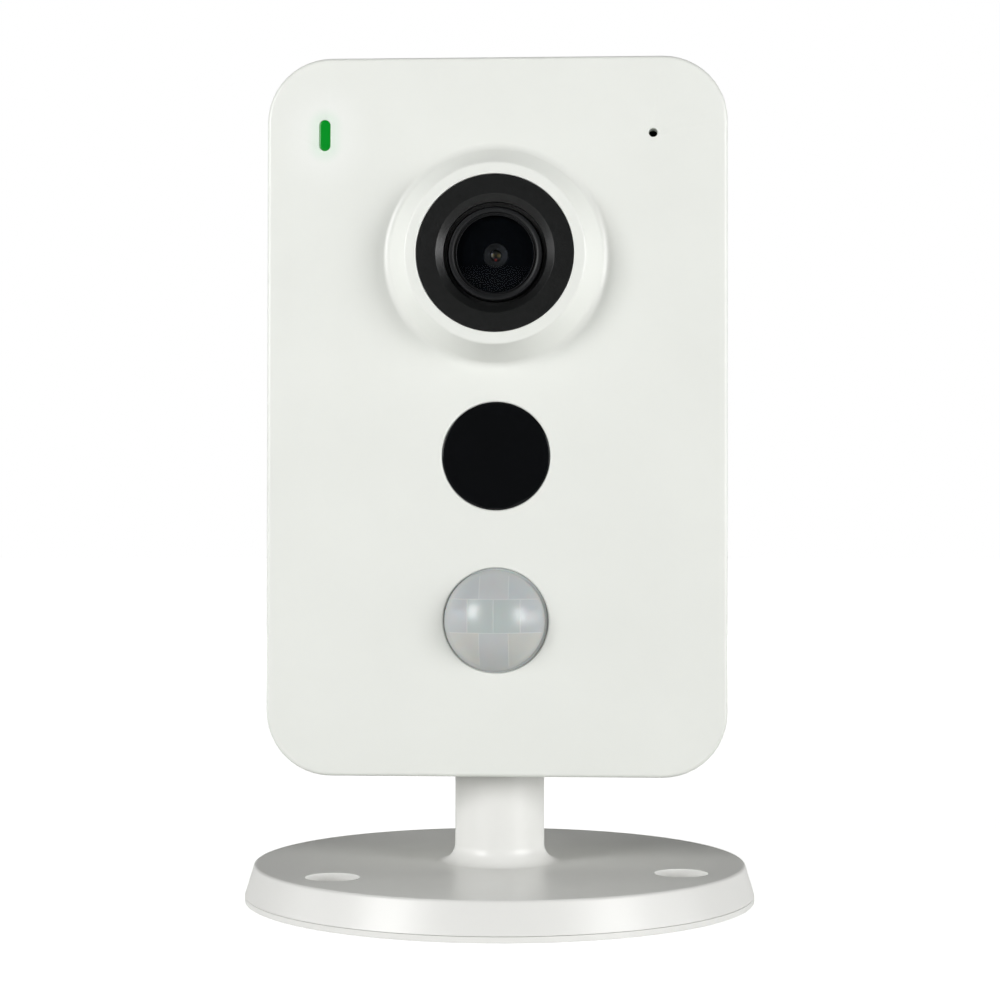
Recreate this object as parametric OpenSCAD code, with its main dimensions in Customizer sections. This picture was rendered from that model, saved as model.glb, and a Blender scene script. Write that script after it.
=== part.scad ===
// Desk or wall security camera: an upright box head that tilts and turns on a
// round weighted stand. +Z is up, the lens looks along -Y, and the origin is
// the centre of the stand's underside, on the axis that the head turns about.

/* [Head] */
// Width of the head
head_w = 66.3; // [62:0.1:80]
// Height of the head
head_h = 103.5; // [101:0.1:120]
// Depth of the head, from its face to its back
head_d = 31; // [30.5:0.1:36]
// Radius of the head's four corners, seen from the front
corner_r = 9.3; // [6:0.1:12]
// Wall of the rear housing
wall = 2; // [1.6:0.1:2.4]
// Thickness of the front panel
panel_t = 2.4; // [2:0.1:2.6]
// Rounding of the front panel's outer edge
face_edge = 0.6; // [0.4:0.1:1.6]
// Rounding of the rear housing's back edge
back_edge = 3; // [1:0.1:4]

/* [Lens] */
// Lens axis, below the top of the head
lens_drop = 28.8; // [27:0.1:32]
// How far the white bezel stands out from the face
bezel_out = 4.5; // [3:0.1:6]
// Bezel radius where it meets the face
bezel_foot_r = 15.6; // [14:0.1:18]
// Bezel radius at its front lip
bezel_lip_r = 12.9; // [12.3:0.1:13.8]
// Radius of the hollow curve between the face and the bezel's slope
bezel_sweep = 1.5; // [0.6:0.1:3]
// Rounding of the bezel's lip
bezel_round = 0.5; // [0.2:0.05:1]
// Outer radius of the black trim ring
trim_r = 11.2; // [10:0.1:12]
// Radius where the trim ring's flat front ends
trim_flat_r = 8.45; // [8:0.05:9.5]
// Bore radius of the trim ring
trim_bore_r = 7.4; // [7:0.05:7.8]
// How far the trim ring sits back from the bezel's lip
trim_sink = 0.2; // [0:0.05:0.6]
// Radius of the lens barrel's front
barrel_r = 6.75; // [6.4:0.05:6.85]
// Radius of the lens barrel's thread
thread_r = 6; // [5.6:0.05:6.2]
// Radius of the front glass
glass_r = 5.7; // [5.2:0.05:5.8]
// How far the lens barrel sits back from the bezel's lip
barrel_sink = 1.3; // [0.8:0.1:2]
// Radius of the dark iris opening
iris_r = 1.8; // [1:0.1:2.5]

/* [Windows] */
// How far the infrared window sits above the middle of the space between bezel and dome
ir_raise = 1.5; // [-2:0.1:2]
// Radius of the infrared window
ir_r = 7.75; // [6:0.05:8]
// Motion sensor centre, above the head's underside
pir_up = 22.4; // [22.2:0.1:25]
// Radius of the motion sensor's domed lens
pir_r = 7.5; // [6:0.05:8]
// How far the domed lens stands out from the face
pir_out = 4.6; // [3:0.1:6]
// Status light centre, in from the head's left side
light_in = 8.35; // [8:0.05:10]
// Status light centre, below the top of the head
light_drop = 11.2; // [10.5:0.1:12.5]
// Width of the status light
light_w = 1.57; // [1:0.01:2.4]
// Height of the status light
light_h = 4.43; // [3:0.01:6]
// Microphone hole centre, in from the head's right side
mic_in = 10.65; // [9:0.05:12]
// Microphone hole centre, below the top of the head
mic_drop = 11.1; // [10.5:0.1:12.5]
// Radius of the microphone hole
mic_r = 0.65; // [0.4:0.05:1]

/* [Stand] */
// Radius of the base at its bottom
base_r = 37.6; // [35:0.1:45]
// How far the base's slanted rim leans in
rim_lean = 1.4; // [0.8:0.1:2.4]
// Height of the base
base_h = 5.4; // [5.2:0.1:7]
// Thickness of the cover under the base
cover_t = 0.85; // [0.8:0.05:1.2]
// Wall of the base shell
shell_t = 2; // [1.6:0.1:2.2]
// Radius of the neck
neck_r = 6.6; // [6.2:0.1:7]
// Radius of the curve between the neck and its foot
flare_r = 2.5; // [1.5:0.1:3]
// Diameter of the circle that the three fixing holes lie on
bolt_circle = 57.4; // [52:0.1:60]
// Radius of a fixing hole
bolt_r = 2.2; // [1.6:0.1:2.6]
// Radius of the recess for a fixing screw's head
sink_r = 3.8; // [3.4:0.1:4.4]
// Depth of the recess for a fixing screw's head
sink_deep = 3; // [2:0.1:3.2]
// Angle of the rear fixing hole, from +X
bolt_turn = 97.6; // [60:0.1:120]

/* [Hinge] */
// How far the face stands ahead of the turning axis
face_ahead = 12; // [11.8:0.1:13]
// Tilt axis above the head's underside
pivot_up = 8.6; // [8.2:0.1:9]
// Space between the base and the head's corner as it swings past
swing_gap = 1.35; // [0.8:0.05:3]
// Radius of the tilt pin
pin_r = 2; // [1.5:0.1:2.5]
// Width of the neck's flat tongue
tongue_w = 11.4; // [9:0.1:11.6]
// Steepest angle that the head looks down at
tilt_down = 10; // [0:1:12]

/* [Sockets] */
// Width of the network socket
jack_w = 16; // [15.5:0.1:17]
// Height of the network socket
jack_h = 13.4; // [13:0.1:14]
// Length of the network socket
jack_l = 13.55; // [13:0.05:14]
// Height of both sockets' centres, above the head's underside
jack_up = 39; // [38:0.1:40]
// Centre of the network socket, from the middle of the back
jack_x = 9; // [8.6:0.1:10]
// Width of the power socket
power_w = 9; // [8:0.1:9.4]
// Radius of the power socket's opening
power_r = 3.1; // [2.6:0.05:3.4]
// Centre of the power socket, from the middle of the back
power_x = -8; // [-9:0.1:-7]
// Length of the memory card's slot
card_w = 12; // [11:0.1:14]
// Radius of a push button's cap
button_r = 2; // [1.5:0.05:2.4]
// How far a push button moves
button_travel = 0.5; // [0.3:0.05:0.6]
// Radius of the loudspeaker
speaker_r = 10; // [8:0.1:11]

/* [Fits] */
// Radial gap of a part that turns or slides in another
run_gap = 0.05; // [0.03:0.01:0.08]
// Gap between parts that are fixed side by side
seat_gap = 0.1; // [0.02:0.02:0.2]
// Gap beside a part that only passes through
free_gap = 0.3; // [0.2:0.05:0.5]

/* [Hidden] */
$fn = 64;

white = "#e9ebe6";
black = "#17181a";
steel = "#b9bcbf";
circuit = "#1f5a3a";
cut = 1;  // how far a cutting shape runs past what it cuts
half_gap = seat_gap / 2;

// Depths, from front to back
face_y = -face_ahead;
split_y = face_y + panel_t;
back_y = face_y + head_d;
back_in = back_y - wall;
lip_y = face_y - bezel_out;

// Tilt axis and head height: the back corner swings just clear of the base
head_back = head_d - face_ahead;
pivot_z = base_h + swing_gap + norm([head_back, pivot_up]);
head_z = pivot_z - pivot_up;
top_z = head_z + head_h;
side_in = head_w / 2 - wall;

lens_z = top_z - lens_drop;
pir_z = head_z + pir_up;
ir_z = (pir_z + pir_r + lens_z - bezel_foot_r) / 2 + ir_raise;
light_z = top_z - light_drop;
light_x = light_in - head_w / 2;
mic_x = head_w / 2 - mic_in;
mic_z = top_z - mic_drop;

// Slot in the head that the neck swings in: its front wall just clears the neck at the steepest look down
slot_x = neck_r + 2 * free_gap;
slot_front = -(neck_r + free_gap + pivot_up * sin(tilt_down)) / cos(tilt_down);
slot_top = pivot_z + neck_r + 0.7;
pocket_wall = 1.6;
pocket_x = slot_x + pocket_wall;
pocket_top = slot_top + pocket_wall;

// Neck
tongue_x = tongue_w / 2;
tongue_r = neck_r - 0.4;
foot_r = neck_r + flare_r;
foot_lip = 0.1;
foot_z = base_h + run_gap;
neck_top = head_z + 0.6;
spigot_r = 5;
hub_r = spigot_r + 3;
hub_z = base_h - shell_t - 0.75;
pan_washer_t = 0.6;
pan_screw_r = 1.75;
pan_screw_head_r = 4;
pan_screw_head_t = 0.9;
pan_screw_l = 10;
pin_head_r = pin_r + 1.5;
pin_head_t = 1.6;
nut_t = 2.4;

// Base
base_top_r = base_r - rim_lean;
inner_z = cover_t + seat_gap;
foot_pad_r = 5;
foot_pad_t = 0.6;
foot_circle_r = 23.5;
cover_screw_circle_r = 31.2;
cover_screw_r = 0.9;
cover_screw_head_r = 2;
cover_screw_head_t = 0.45;
cover_screw_l = 3;
ballast_t = 1.6;
ballast_r = bolt_circle / 2 - sink_r - 2.2;

// Circuit boards and the stack between the lens and the main board
board_t = 1.6;
board_back = back_y - 0.2 - jack_l - half_gap;
board_front = board_back - board_t;
board_x = side_in - 1.65;
board_z0 = pir_z + 3;
board_z1 = light_z + 0.9;
header_t = 2.3;
header_h = 4;
sensor_header_w = 10;
ir_header_w = 5;
pir_header_w = 8;
pir_overlap = 5;
sensor_board_w = 26;
sensor_board_t = 1.2;
sensor_board_back = board_front - header_t;
sensor_board_front = sensor_board_back - sensor_board_t;
sensor_w = 8;
sensor_h = 6;
sensor_t = 0.9;
filter_t = 0.5;
carriage_t = 0.8;
carriage_w = 14.4;
carriage_h = 8.6;
filter_r = 2.65;
filter_pitch = 6.6;
carriage_gap = 0.2;
frame_wall = 0.45;
frame_t = carriage_t + 2 * carriage_gap + 2 * frame_wall;
frame_back = sensor_board_front - sensor_t - seat_gap;
frame_front = frame_back - frame_t;
frame_w = carriage_w + filter_pitch + 2 * carriage_gap + 3.2;
frame_h = carriage_h + 2 * carriage_gap + 3.4;
coil_w = 6;
coil_h = 10;
holder_back = frame_front - seat_gap;
holder_t = 1.4;
holder_w = 17;
holder_leg_h = 3;
holder_h = frame_h + 2 * seat_gap + 2 * holder_leg_h;
holder_tube_r = thread_r + 1.6;
thread_l = 4.8;
barrel_front = lip_y + barrel_sink;
hood_back = holder_back - thread_l;
glass_seat = 1.4;
glass_ledge = 1.2;
glass_edge = 0.6;
glass_bulge = 0.7;
iris_deep = 4.6;
rear_glass_r = thread_r - 2.5;
rear_glass_t = 1.4;
rear_glass_back = 0.4;
rear_glass_seat = rear_glass_t + 2 * rear_glass_back;

// Screws that hold the head together
post_r = 2.8;
post_y = 2;
case_post_r = 3.6;
case_screw_r = 1.3;
case_screw_head_r = 2.4;
case_screw_head_t = 1.8;
case_screw_l = 10;
case_shelf_t = 2;
case_screw_in = 7.15;
case_screw_up = 8;
upper_screw_x = 12;
upper_screw_drop = 6.2;
case_x = [head_w / 2 - case_screw_in, upper_screw_x];
case_z = [head_z + case_screw_up, top_z - upper_screw_drop];
board_post_r = 2.6;
board_post_in = 3;
board_post_up = 6;
board_post_drop = 8.2;
board_post_x = board_x - board_post_in;
board_post_z = [board_z0 + board_post_up, board_z1 - board_post_drop];
board_screw_r = 1.2;
board_screw_head_r = 2.2;
board_screw_head_t = 1.3;
board_screw_l = 7;

// Sockets, buttons and loudspeaker on the back
jack_z = head_z + jack_up;
power_h = 9.4;
power_deep = 9;
card_raise = 19;
card_z = jack_z + card_raise;
card_h = card_w + 2;
card_t = 1.9;
card_slot_t = 1.3;
card_l = 15;
card_y = board_back + (card_t - card_slot_t) / 2;
button_gap = 0.9;
button_pitch = 9;
button_z = [jack_z + button_pitch / 2, jack_z - button_pitch / 2];
button_proud = 0.5;
button_flange_r = button_r + 0.9;
button_flange_t = 1;
switch_w = 6;
button_x = board_post_r + switch_w / 2 + button_gap - board_post_x;
switch_t = 3.5;
switch_y = board_back + switch_t;
plunger_r = 1.2;
plunger_out = 0.9;
plunger_in = 1.2;
speaker_drop = 2;
speaker_z = lens_z - speaker_drop;
speaker_t = 4.5;
speaker_magnet_r = 5.5;
speaker_magnet_t = 3;
grille_hole_r = 0.8;
grille_pitch = 3.2;
vent_w = 24;
vent_h = 1.2;
vents = 4;
vent_low = jack_z + jack_h / 2;
vent_pitch = (speaker_z - speaker_r - vent_low) / (vents + 1);

// Windows
window_flange_r = ir_r + 1.2;
window_flange_t = 0.9;
shroud_back = -4.2;
led_board_t = 1.2;
led_r = 2.5;
led_x = 3.4;
pir_wall = 0.8;
pir_flange_t = 0.7;
pir_can_r = 4.1;
pir_can_t = 4;
pir_board_w = 20;
pir_board_front = -4.2;
pir_board_t = 1;
pipe_collar = 0.85;
led_t = 0.8;
mic_t = 1.1;
boot_r = 2.2;

// Extrudes an outline drawn in X and Z from depth y0 back to depth y1
module along_y(y0, y1) {
    translate([0, y1, 0]) rotate([90, 0, 0]) linear_extrude(y1 - y0) children();
}

// Extrudes an outline drawn in Y and Z across from x0 to x1
module along_x(x0, x1) {
    translate([x0, 0, 0]) rotate([90, 0, 90]) linear_extrude(x1 - x0) children();
}

// Turns a profile about the Y axis at depth y. Its second coordinate runs forward.
module turned(y) {
    translate([0, y, 0]) rotate([90, 0, 0]) rotate_extrude() children();
}

// Box centred on the Y axis
module block(w, h, y0, y1) {
    translate([-w / 2, y0, -h / 2]) cube([w, y1 - y0, h]);
}

// Moves across the head to x and z
module at(x, z) {
    translate([x, 0, z]) children();
}

// Copies a shape made for the right-hand side to both sides
module both_sides() {
    children();
    mirror([1, 0, 0]) children();
}

// Rounded rectangle that stands on the X axis
module rounded_outline(w, h, r) {
    translate([-w / 2, r]) square([w, h - 2 * r]);
    translate([r - w / 2, 0]) square([w - 2 * r, h]);
    for (x = [r - w / 2, w / 2 - r], z = [r, h - r]) translate([x, z]) circle(r);
}

// Section through the border of a soft block: x runs outward, y backward
module border(r, depth, edge) {
    square([r, depth - edge]);
    square([r - edge, depth]);
    translate([r - edge, depth - edge]) circle(edge);
}

// Block with rounded corners that stands on z = 0 and runs back from y = 0.
// The edge round its back face is rounded too.
module soft_block(w, h, r, depth, edge) {
    flat_w = w - 2 * r;
    flat_h = h - 2 * r;
    translate([-flat_w / 2, 0, r]) cube([flat_w, depth, flat_h]);
    both_sides() translate([flat_w / 2, 0, r]) linear_extrude(flat_h) border(r, depth, edge);
    translate([0, 0, h / 2]) for (up = [0, 1]) mirror([0, 0, up]) {
        translate([flat_w / 2, 0, flat_h / 2]) rotate([0, -90, 0]) linear_extrude(flat_w)
            border(r, depth, edge);
        both_sides() translate([flat_w / 2, 0, -flat_h / 2]) rotate([-90, 0, 0])
            rotate_extrude(angle = 90) border(r, depth, edge);
    }
}

// Copies a shape to the three fixing holes of the base
module at_bolts() {
    for (turn = [0, 120, 240]) rotate(bolt_turn + turn) translate([bolt_circle / 2, 0, 0]) children();
}

// Copies a shape to the three places between the fixing holes
module between_bolts(r) {
    for (turn = [60, 180, 300]) rotate(bolt_turn + turn) translate([r, 0, 0]) children();
}

// Copies a shape to the four screws that join the two halves of the head
module at_case_screws() {
    for (row = [0, 1]) both_sides() at(case_x[row], case_z[row]) children();
}

// Copies a shape to the four screws of the main board
module at_board_screws() {
    for (z = board_post_z) both_sides() at(board_post_x, z) children();
}

module base_shell() {
    color(white) difference() {
        union() {
            rotate_extrude() difference() {
                polygon([[0, cover_t + run_gap], [base_r, cover_t + run_gap],
                    [base_top_r, base_h], [0, base_h]]);
                square([base_top_r - shell_t, base_h - shell_t]);
            }
            translate([0, 0, hub_z]) cylinder(r = hub_r, h = base_h - hub_z);
            at_bolts() translate([0, 0, inner_z])
                cylinder(r = sink_r + 1.4, h = base_h - inner_z);
            between_bolts(cover_screw_circle_r) translate([0, 0, inner_z])
                cylinder(r = cover_screw_r + 1.3, h = base_h - inner_z);
        }
        translate([0, 0, -cut]) cylinder(r = spigot_r + run_gap, h = base_h + 2 * cut);
        at_bolts() {
            translate([0, 0, -cut]) cylinder(r = bolt_r, h = base_h);
            translate([0, 0, base_h - sink_deep]) cylinder(r = sink_r, h = sink_deep + cut);
        }
        between_bolts(cover_screw_circle_r)
            cylinder(r = cover_screw_r + run_gap, h = cover_screw_l + free_gap);
    }
}

module base_cover() {
    color(white) difference() {
        cylinder(r = base_r, h = cover_t);
        at_bolts() translate([0, 0, -cut]) cylinder(r = bolt_r, h = cover_t + 2 * cut);
        between_bolts(foot_circle_r) translate([0, 0, -cut])
            cylinder(r = foot_pad_r + seat_gap, h = foot_pad_t + half_gap + cut);
        between_bolts(cover_screw_circle_r) {
            translate([0, 0, -cut]) cylinder(r = cover_screw_r + run_gap, h = cover_t + 2 * cut);
            translate([0, 0, -cut])
                cylinder(r = cover_screw_head_r + seat_gap, h = cover_screw_head_t + cut);
        }
    }
}

module ballast_plate() {
    color(steel) translate([0, 0, inner_z]) difference() {
        cylinder(r = ballast_r, h = ballast_t);
        translate([0, 0, -cut]) cylinder(r = hub_r + 1.5, h = ballast_t + 2 * cut);
    }
}

module rubber_feet() {
    color("#2b2c2e") between_bolts(foot_circle_r) cylinder(r = foot_pad_r, h = foot_pad_t);
}

module cover_screws() {
    color(steel) between_bolts(cover_screw_circle_r) {
        cylinder(r = cover_screw_head_r, h = cover_screw_head_t - run_gap);
        cylinder(r = cover_screw_r, h = cover_screw_l);
    }
}

module stalk() {
    color(white) difference() {
        union() {
            translate([0, 0, hub_z - run_gap]) cylinder(r = spigot_r, h = foot_z + cut - hub_z);
            rotate_extrude() {
                translate([0, foot_z]) square([neck_r, neck_top - foot_z]);
                translate([0, foot_z]) difference() {
                    square([foot_r, foot_lip + flare_r]);
                    translate([foot_r, foot_lip + flare_r]) circle(flare_r);
                }
            }
            along_x(-tongue_x, tongue_x) {
                translate([0, pivot_z]) circle(tongue_r);
                translate([-tongue_r, neck_top - cut]) square([2 * tongue_r, pivot_up]);
            }
        }
        along_x(-neck_r - cut, neck_r + cut) translate([0, pivot_z]) circle(pin_r + run_gap);
        cylinder(r = pan_screw_r + run_gap, h = hub_z + pan_screw_l + cut);
    }
}

module pan_washer() {
    color(steel) translate([0, 0, hub_z - 2 * run_gap - pan_washer_t]) difference() {
        cylinder(r = spigot_r + 2, h = pan_washer_t);
        translate([0, 0, -cut]) cylinder(r = pan_screw_r + run_gap, h = pan_washer_t + 2 * cut);
    }
}

module pan_screw() {
    under = hub_z - 3 * run_gap - pan_washer_t;
    color(steel) {
        translate([0, 0, under - pan_screw_head_t]) cylinder(r = pan_screw_head_r, h = pan_screw_head_t);
        translate([0, 0, under - pan_screw_head_t / 2]) cylinder(r = pan_screw_r, h = pan_screw_l);
    }
}

module tilt_pin() {
    seat = pocket_x + run_gap;
    color(steel) {
        along_x(-seat - nut_t - cut / 2, seat + cut / 2) translate([0, pivot_z]) circle(pin_r);
        along_x(seat, seat + pin_head_t) translate([0, pivot_z]) circle(pin_head_r);
    }
}

module tilt_nut() {
    seat = pocket_x + run_gap;
    color(steel) along_x(-seat - nut_t, -seat) translate([0, pivot_z]) difference() {
        circle(2 * pin_r, $fn = 6);
        circle(pin_r + run_gap);
    }
}

module tilt_washers() {
    color("#3a3c3e") both_sides() along_x(tongue_x + run_gap, slot_x - run_gap)
        translate([0, pivot_z]) difference() {
            circle(tongue_r - 0.6);
            circle(pin_r + run_gap);
        }
}

// Section of the lens bezel: a hollow sweep off the face, a slope and a rounded lip
module bezel_section() {
    slope = atan2(bezel_out, bezel_foot_r - bezel_lip_r);
    sweep_run = bezel_sweep * tan(slope / 2);
    lip_run = bezel_round * tan(slope / 2);
    difference() {
        polygon([[0, -cut], [bezel_foot_r + sweep_run, -cut], [bezel_foot_r + sweep_run, 0],
            [bezel_foot_r - sweep_run * cos(slope), sweep_run * sin(slope)],
            [bezel_lip_r + lip_run * cos(slope), bezel_out - lip_run * sin(slope)],
            [bezel_lip_r - lip_run, bezel_out], [0, bezel_out]]);
        translate([bezel_foot_r + sweep_run, bezel_sweep]) circle(bezel_sweep);
    }
    translate([bezel_lip_r - lip_run, bezel_out - bezel_round]) circle(bezel_round);
}

module front_panel() {
    rim_gap = wall + seat_gap;
    rim_t = 1.2;
    rim_deep = 2.2;
    color(white) difference() {
        union() {
            translate([0, split_y, head_z]) mirror([0, 1, 0])
                soft_block(head_w, head_h, corner_r, panel_t, face_edge);
            at(0, lens_z) turned(face_y) bezel_section();
            along_y(split_y - cut / 2, split_y + rim_deep) difference() {
                translate([0, head_z + rim_gap])
                    rounded_outline(head_w - 2 * rim_gap, head_h - 2 * rim_gap, corner_r - rim_gap);
                translate([0, head_z + rim_gap + rim_t]) rounded_outline(
                    head_w - 2 * (rim_gap + rim_t), head_h - 2 * (rim_gap + rim_t),
                    corner_r - rim_gap - rim_t);
                translate([-pocket_x - free_gap, head_z])
                    square([2 * (pocket_x + free_gap), pocket_top + free_gap - head_z]);
            }
            at_case_screws() along_y(split_y - cut / 2, post_y) circle(post_r);
        }
        at(0, lens_z) along_y(lip_y - cut, split_y + cut) circle(trim_r + run_gap);
        at(0, ir_z) along_y(face_y - cut, split_y + cut) circle(ir_r + run_gap);
        at(0, pir_z) along_y(face_y - cut, split_y + cut) circle(pir_r + run_gap);
        at(light_x, light_z) along_y(face_y - cut, split_y + cut)
            light_outline(light_w + 2 * run_gap, light_h + 2 * run_gap);
        at(mic_x, mic_z) along_y(face_y - cut, split_y + cut) circle(mic_r);
        at_case_screws() along_y(post_y - case_screw_l + case_shelf_t - cut, post_y + cut)
            circle(case_screw_r + run_gap);
    }
}

// Upright slot with round ends
module light_outline(w, h) {
    translate([-w / 2, (w - h) / 2]) square([w, h - w]);
    for (z = [(w - h) / 2, (h - w) / 2]) translate([0, z]) circle(w / 2);
}

// Holes of the loudspeaker grille in rings of six
module grille() {
    circle(grille_hole_r);
    for (ring = [1, 2], spoke = [0:5], step = [0:ring - 1])
        rotate(60 * spoke) translate([grille_pitch * (ring - step / 2), grille_pitch * step * sqrt(3) / 2])
            circle(grille_hole_r);
}

module rear_housing() {
    shelf_y = post_y + seat_gap;
    color(white) difference() {
        union() {
            difference() {
                translate([0, split_y + run_gap, head_z])
                    soft_block(head_w, head_h, corner_r, back_y - split_y - run_gap, back_edge);
                translate([0, 0, head_z + wall]) along_y(split_y - cut, back_in)
                    rounded_outline(head_w - 2 * wall, head_h - 2 * wall, corner_r - wall);
            }
            translate([-pocket_x, split_y + run_gap, head_z + wall / 2])
                cube([2 * pocket_x, back_in - split_y, pocket_top - head_z - wall / 2]);
            at_case_screws() along_y(shelf_y, back_in + wall / 2) circle(case_post_r);
            at_board_screws() along_y(board_back + run_gap, back_in + wall / 2) circle(board_post_r);
        }
        translate([-slot_x, slot_front, head_z - cut])
            cube([2 * slot_x, back_y - slot_front + cut, slot_top - head_z + cut]);
        along_x(-pocket_x - cut, pocket_x + cut) translate([0, pivot_z]) circle(pin_r + run_gap);
        at_case_screws() {
            along_y(shelf_y - cut, back_y) circle(case_screw_r + run_gap);
            along_y(shelf_y + case_shelf_t, back_y + cut) circle(case_screw_head_r + free_gap);
        }
        at_board_screws() along_y(board_back - cut, board_back + board_screw_l)
            circle(board_screw_r + run_gap);
        at(jack_x, jack_z) block(jack_w + 2 * seat_gap, jack_h + 2 * seat_gap, back_in - cut, back_y + cut);
        at(power_x, jack_z) along_y(back_in - cut, back_y + cut) circle(power_r + 0.8);
        for (z = button_z) at(button_x, z) along_y(back_in - cut, back_y + cut)
            circle(button_r + 2 * run_gap);
        at(0, speaker_z) along_y(back_in - cut, back_y + cut) grille();
        for (row = [1:vents]) at(0, vent_low + row * vent_pitch)
            block(vent_w, vent_h, back_in - cut, back_y + cut);
        translate([-head_w / 2 - cut, card_y - seat_gap, card_z - card_w / 2])
            cube([wall + 2 * cut, card_slot_t + 2 * seat_gap, card_w]);
    }
}

module case_screws() {
    under = post_y + seat_gap + case_shelf_t + run_gap;
    color(steel) at_case_screws() {
        along_y(under, under + case_screw_head_t) circle(case_screw_head_r);
        along_y(under + cut / 2 - case_screw_l, under + cut / 2) circle(case_screw_r);
    }
}

module lens_trim_ring() {
    front = bezel_out - trim_sink;
    color(black) at(0, lens_z) turned(face_y) polygon([
        [trim_bore_r, -panel_t], [trim_r, -panel_t], [trim_r, front], [trim_flat_r, front],
        [trim_bore_r, front - 1.3]]);
}

module lens_barrel() {
    length = holder_back - barrel_front;
    hood = hood_back - barrel_front;
    color(black) at(0, lens_z) turned(holder_back) difference() {
        union() {
            translate([0, length - hood]) square([barrel_r, hood]);
            square([thread_r, length]);
        }
        translate([0, length - glass_seat]) square([glass_r + run_gap, glass_seat + cut]);
        translate([0, length - iris_deep]) square([glass_r - glass_ledge, iris_deep]);
        translate([0, -cut]) square([iris_r, length]);
        translate([0, -cut]) square([rear_glass_r + run_gap, cut + rear_glass_seat]);
    }
}

// Front lens element, bulging forward
module front_glass() {
    ball_r = (pow(glass_r, 2) + pow(glass_bulge, 2)) / (2 * glass_bulge);
    color("#1b2233") at(0, lens_z) turned(barrel_front + glass_seat - run_gap) intersection() {
        square([glass_r, glass_edge + glass_bulge]);
        translate([0, glass_edge + glass_bulge - ball_r]) circle(ball_r, $fn = 360);
    }
}

module rear_glass() {
    glass_back = holder_back - rear_glass_back;
    color("#1b2233") at(0, lens_z) along_y(glass_back - rear_glass_t, glass_back) circle(rear_glass_r);
}

module lens_holder() {
    color(black) at(0, lens_z) difference() {
        union() {
            block(holder_w, holder_h, holder_back - holder_t, holder_back);
            along_y(hood_back + seat_gap, holder_back - cut / 2) circle(holder_tube_r);
            for (side = [-1, 1]) at(0, side * (holder_h - holder_leg_h) / 2)
                block(holder_w / 2, holder_leg_h, holder_back - cut / 2, sensor_board_front);
        }
        along_y(hood_back - cut, holder_back + cut) circle(thread_r + run_gap);
    }
}

module ir_cut_frame() {
    cavity_w = carriage_w + filter_pitch + 2 * carriage_gap;
    y0 = frame_front + frame_wall;
    y1 = frame_back - frame_wall;
    color("#3a3c3e") at(0, lens_z) difference() {
        block(frame_w, frame_h, frame_front, frame_back);
        block(cavity_w, carriage_h + 2 * carriage_gap, y0, y1);
        at(cavity_w / 2, 0) block(frame_w - cavity_w + cut, 3, y0, y1);
        along_y(frame_front - cut, frame_back + cut) circle(filter_r + 0.6);
    }
}

// Depth of the sliding carriage's front face
carriage_y = frame_front + frame_wall + carriage_gap;

module ir_cut_carriage() {
    color(black) at(-filter_pitch / 2, lens_z) difference() {
        block(carriage_w, carriage_h, carriage_y, carriage_y + carriage_t);
        both_sides() at(filter_pitch / 2, 0) along_y(carriage_y - cut, carriage_y + carriage_t + cut)
            circle(filter_r + run_gap);
    }
}

// Filter disc in the middle of the carriage's thickness
module filter_disc() {
    middle = carriage_y + carriage_t / 2;
    along_y(middle - filter_t / 2, middle + filter_t / 2) circle(filter_r);
}

module ir_cut_filter() {
    color("#6f9fb5") at(0, lens_z) filter_disc();
}

module clear_filter() {
    color("#dfe8ea") at(-filter_pitch, lens_z) filter_disc();
}

module ir_cut_coil() {
    color("#8a4b2a") at(frame_w / 2 + seat_gap + coil_w / 2, lens_z)
        block(coil_w, coil_h, frame_front, frame_back);
}

module image_sensor() {
    color("#20242c") at(0, lens_z)
        block(sensor_w, sensor_h, sensor_board_front - sensor_t, sensor_board_front - half_gap);
}

module sensor_board() {
    color(circuit) at(0, lens_z) block(sensor_board_w, sensor_board_w,
        sensor_board_front + half_gap, sensor_board_back);
}

module main_board() {
    color(circuit) difference() {
        translate([-board_x, board_front, board_z0]) cube([2 * board_x, board_t, board_z1 - board_z0]);
        at_board_screws() along_y(board_front - cut, board_back + cut) circle(board_screw_r + seat_gap);
    }
}

// Plugs that join the sensor, infrared and motion boards to the main board
module board_headers() {
    color("#d8d2bd") {
        at(0, lens_z) block(sensor_header_w, header_h, sensor_board_back + half_gap, board_front - half_gap);
        at(0, ir_z) block(ir_header_w, ir_header_w, shroud_back + half_gap, board_front - half_gap);
        at(0, board_z0 + pir_overlap / 2)
            block(pir_header_w, header_h, pir_board_front + pir_board_t + half_gap, board_front - half_gap);
    }
}

module board_screws() {
    head_y = board_front - run_gap - board_screw_head_t;
    color(steel) at_board_screws() {
        along_y(head_y, head_y + board_screw_head_t) circle(board_screw_head_r);
        along_y(head_y + board_screw_head_t / 2, head_y + board_screw_head_t + board_screw_l)
            circle(board_screw_r);
    }
}

shield_w = 13;
shield_h = 15;
shield_t = 2.2;
shield_in = 12;
shield_up = 24;
antenna_w = 22;
antenna_d = 8;
antenna_t = 0.5;
processor_w = 14;
processor_t = 1.4;
spreader_w = 26;
spreader_t = 1.5;

module processor() {
    color("#26282b") at(0, lens_z) block(processor_w, processor_w,
        board_back + half_gap, board_back + processor_t);
}

module heat_spreader() {
    front = board_back + processor_t + seat_gap;
    color(steel) at(0, lens_z) block(spreader_w, spreader_w, front, front + spreader_t);
}

module wifi_shield() {
    color(steel) at(shield_in - board_x, board_z0 + shield_up)
        block(shield_w, shield_h, board_front - shield_t, board_front - half_gap);
}

// Flat aerial on the ceiling of the head
module wifi_antenna() {
    color("#c9a24a") translate([-antenna_w / 2, post_y, top_z - wall - half_gap - antenna_t])
        cube([antenna_w, antenna_d, antenna_t]);
}

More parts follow.
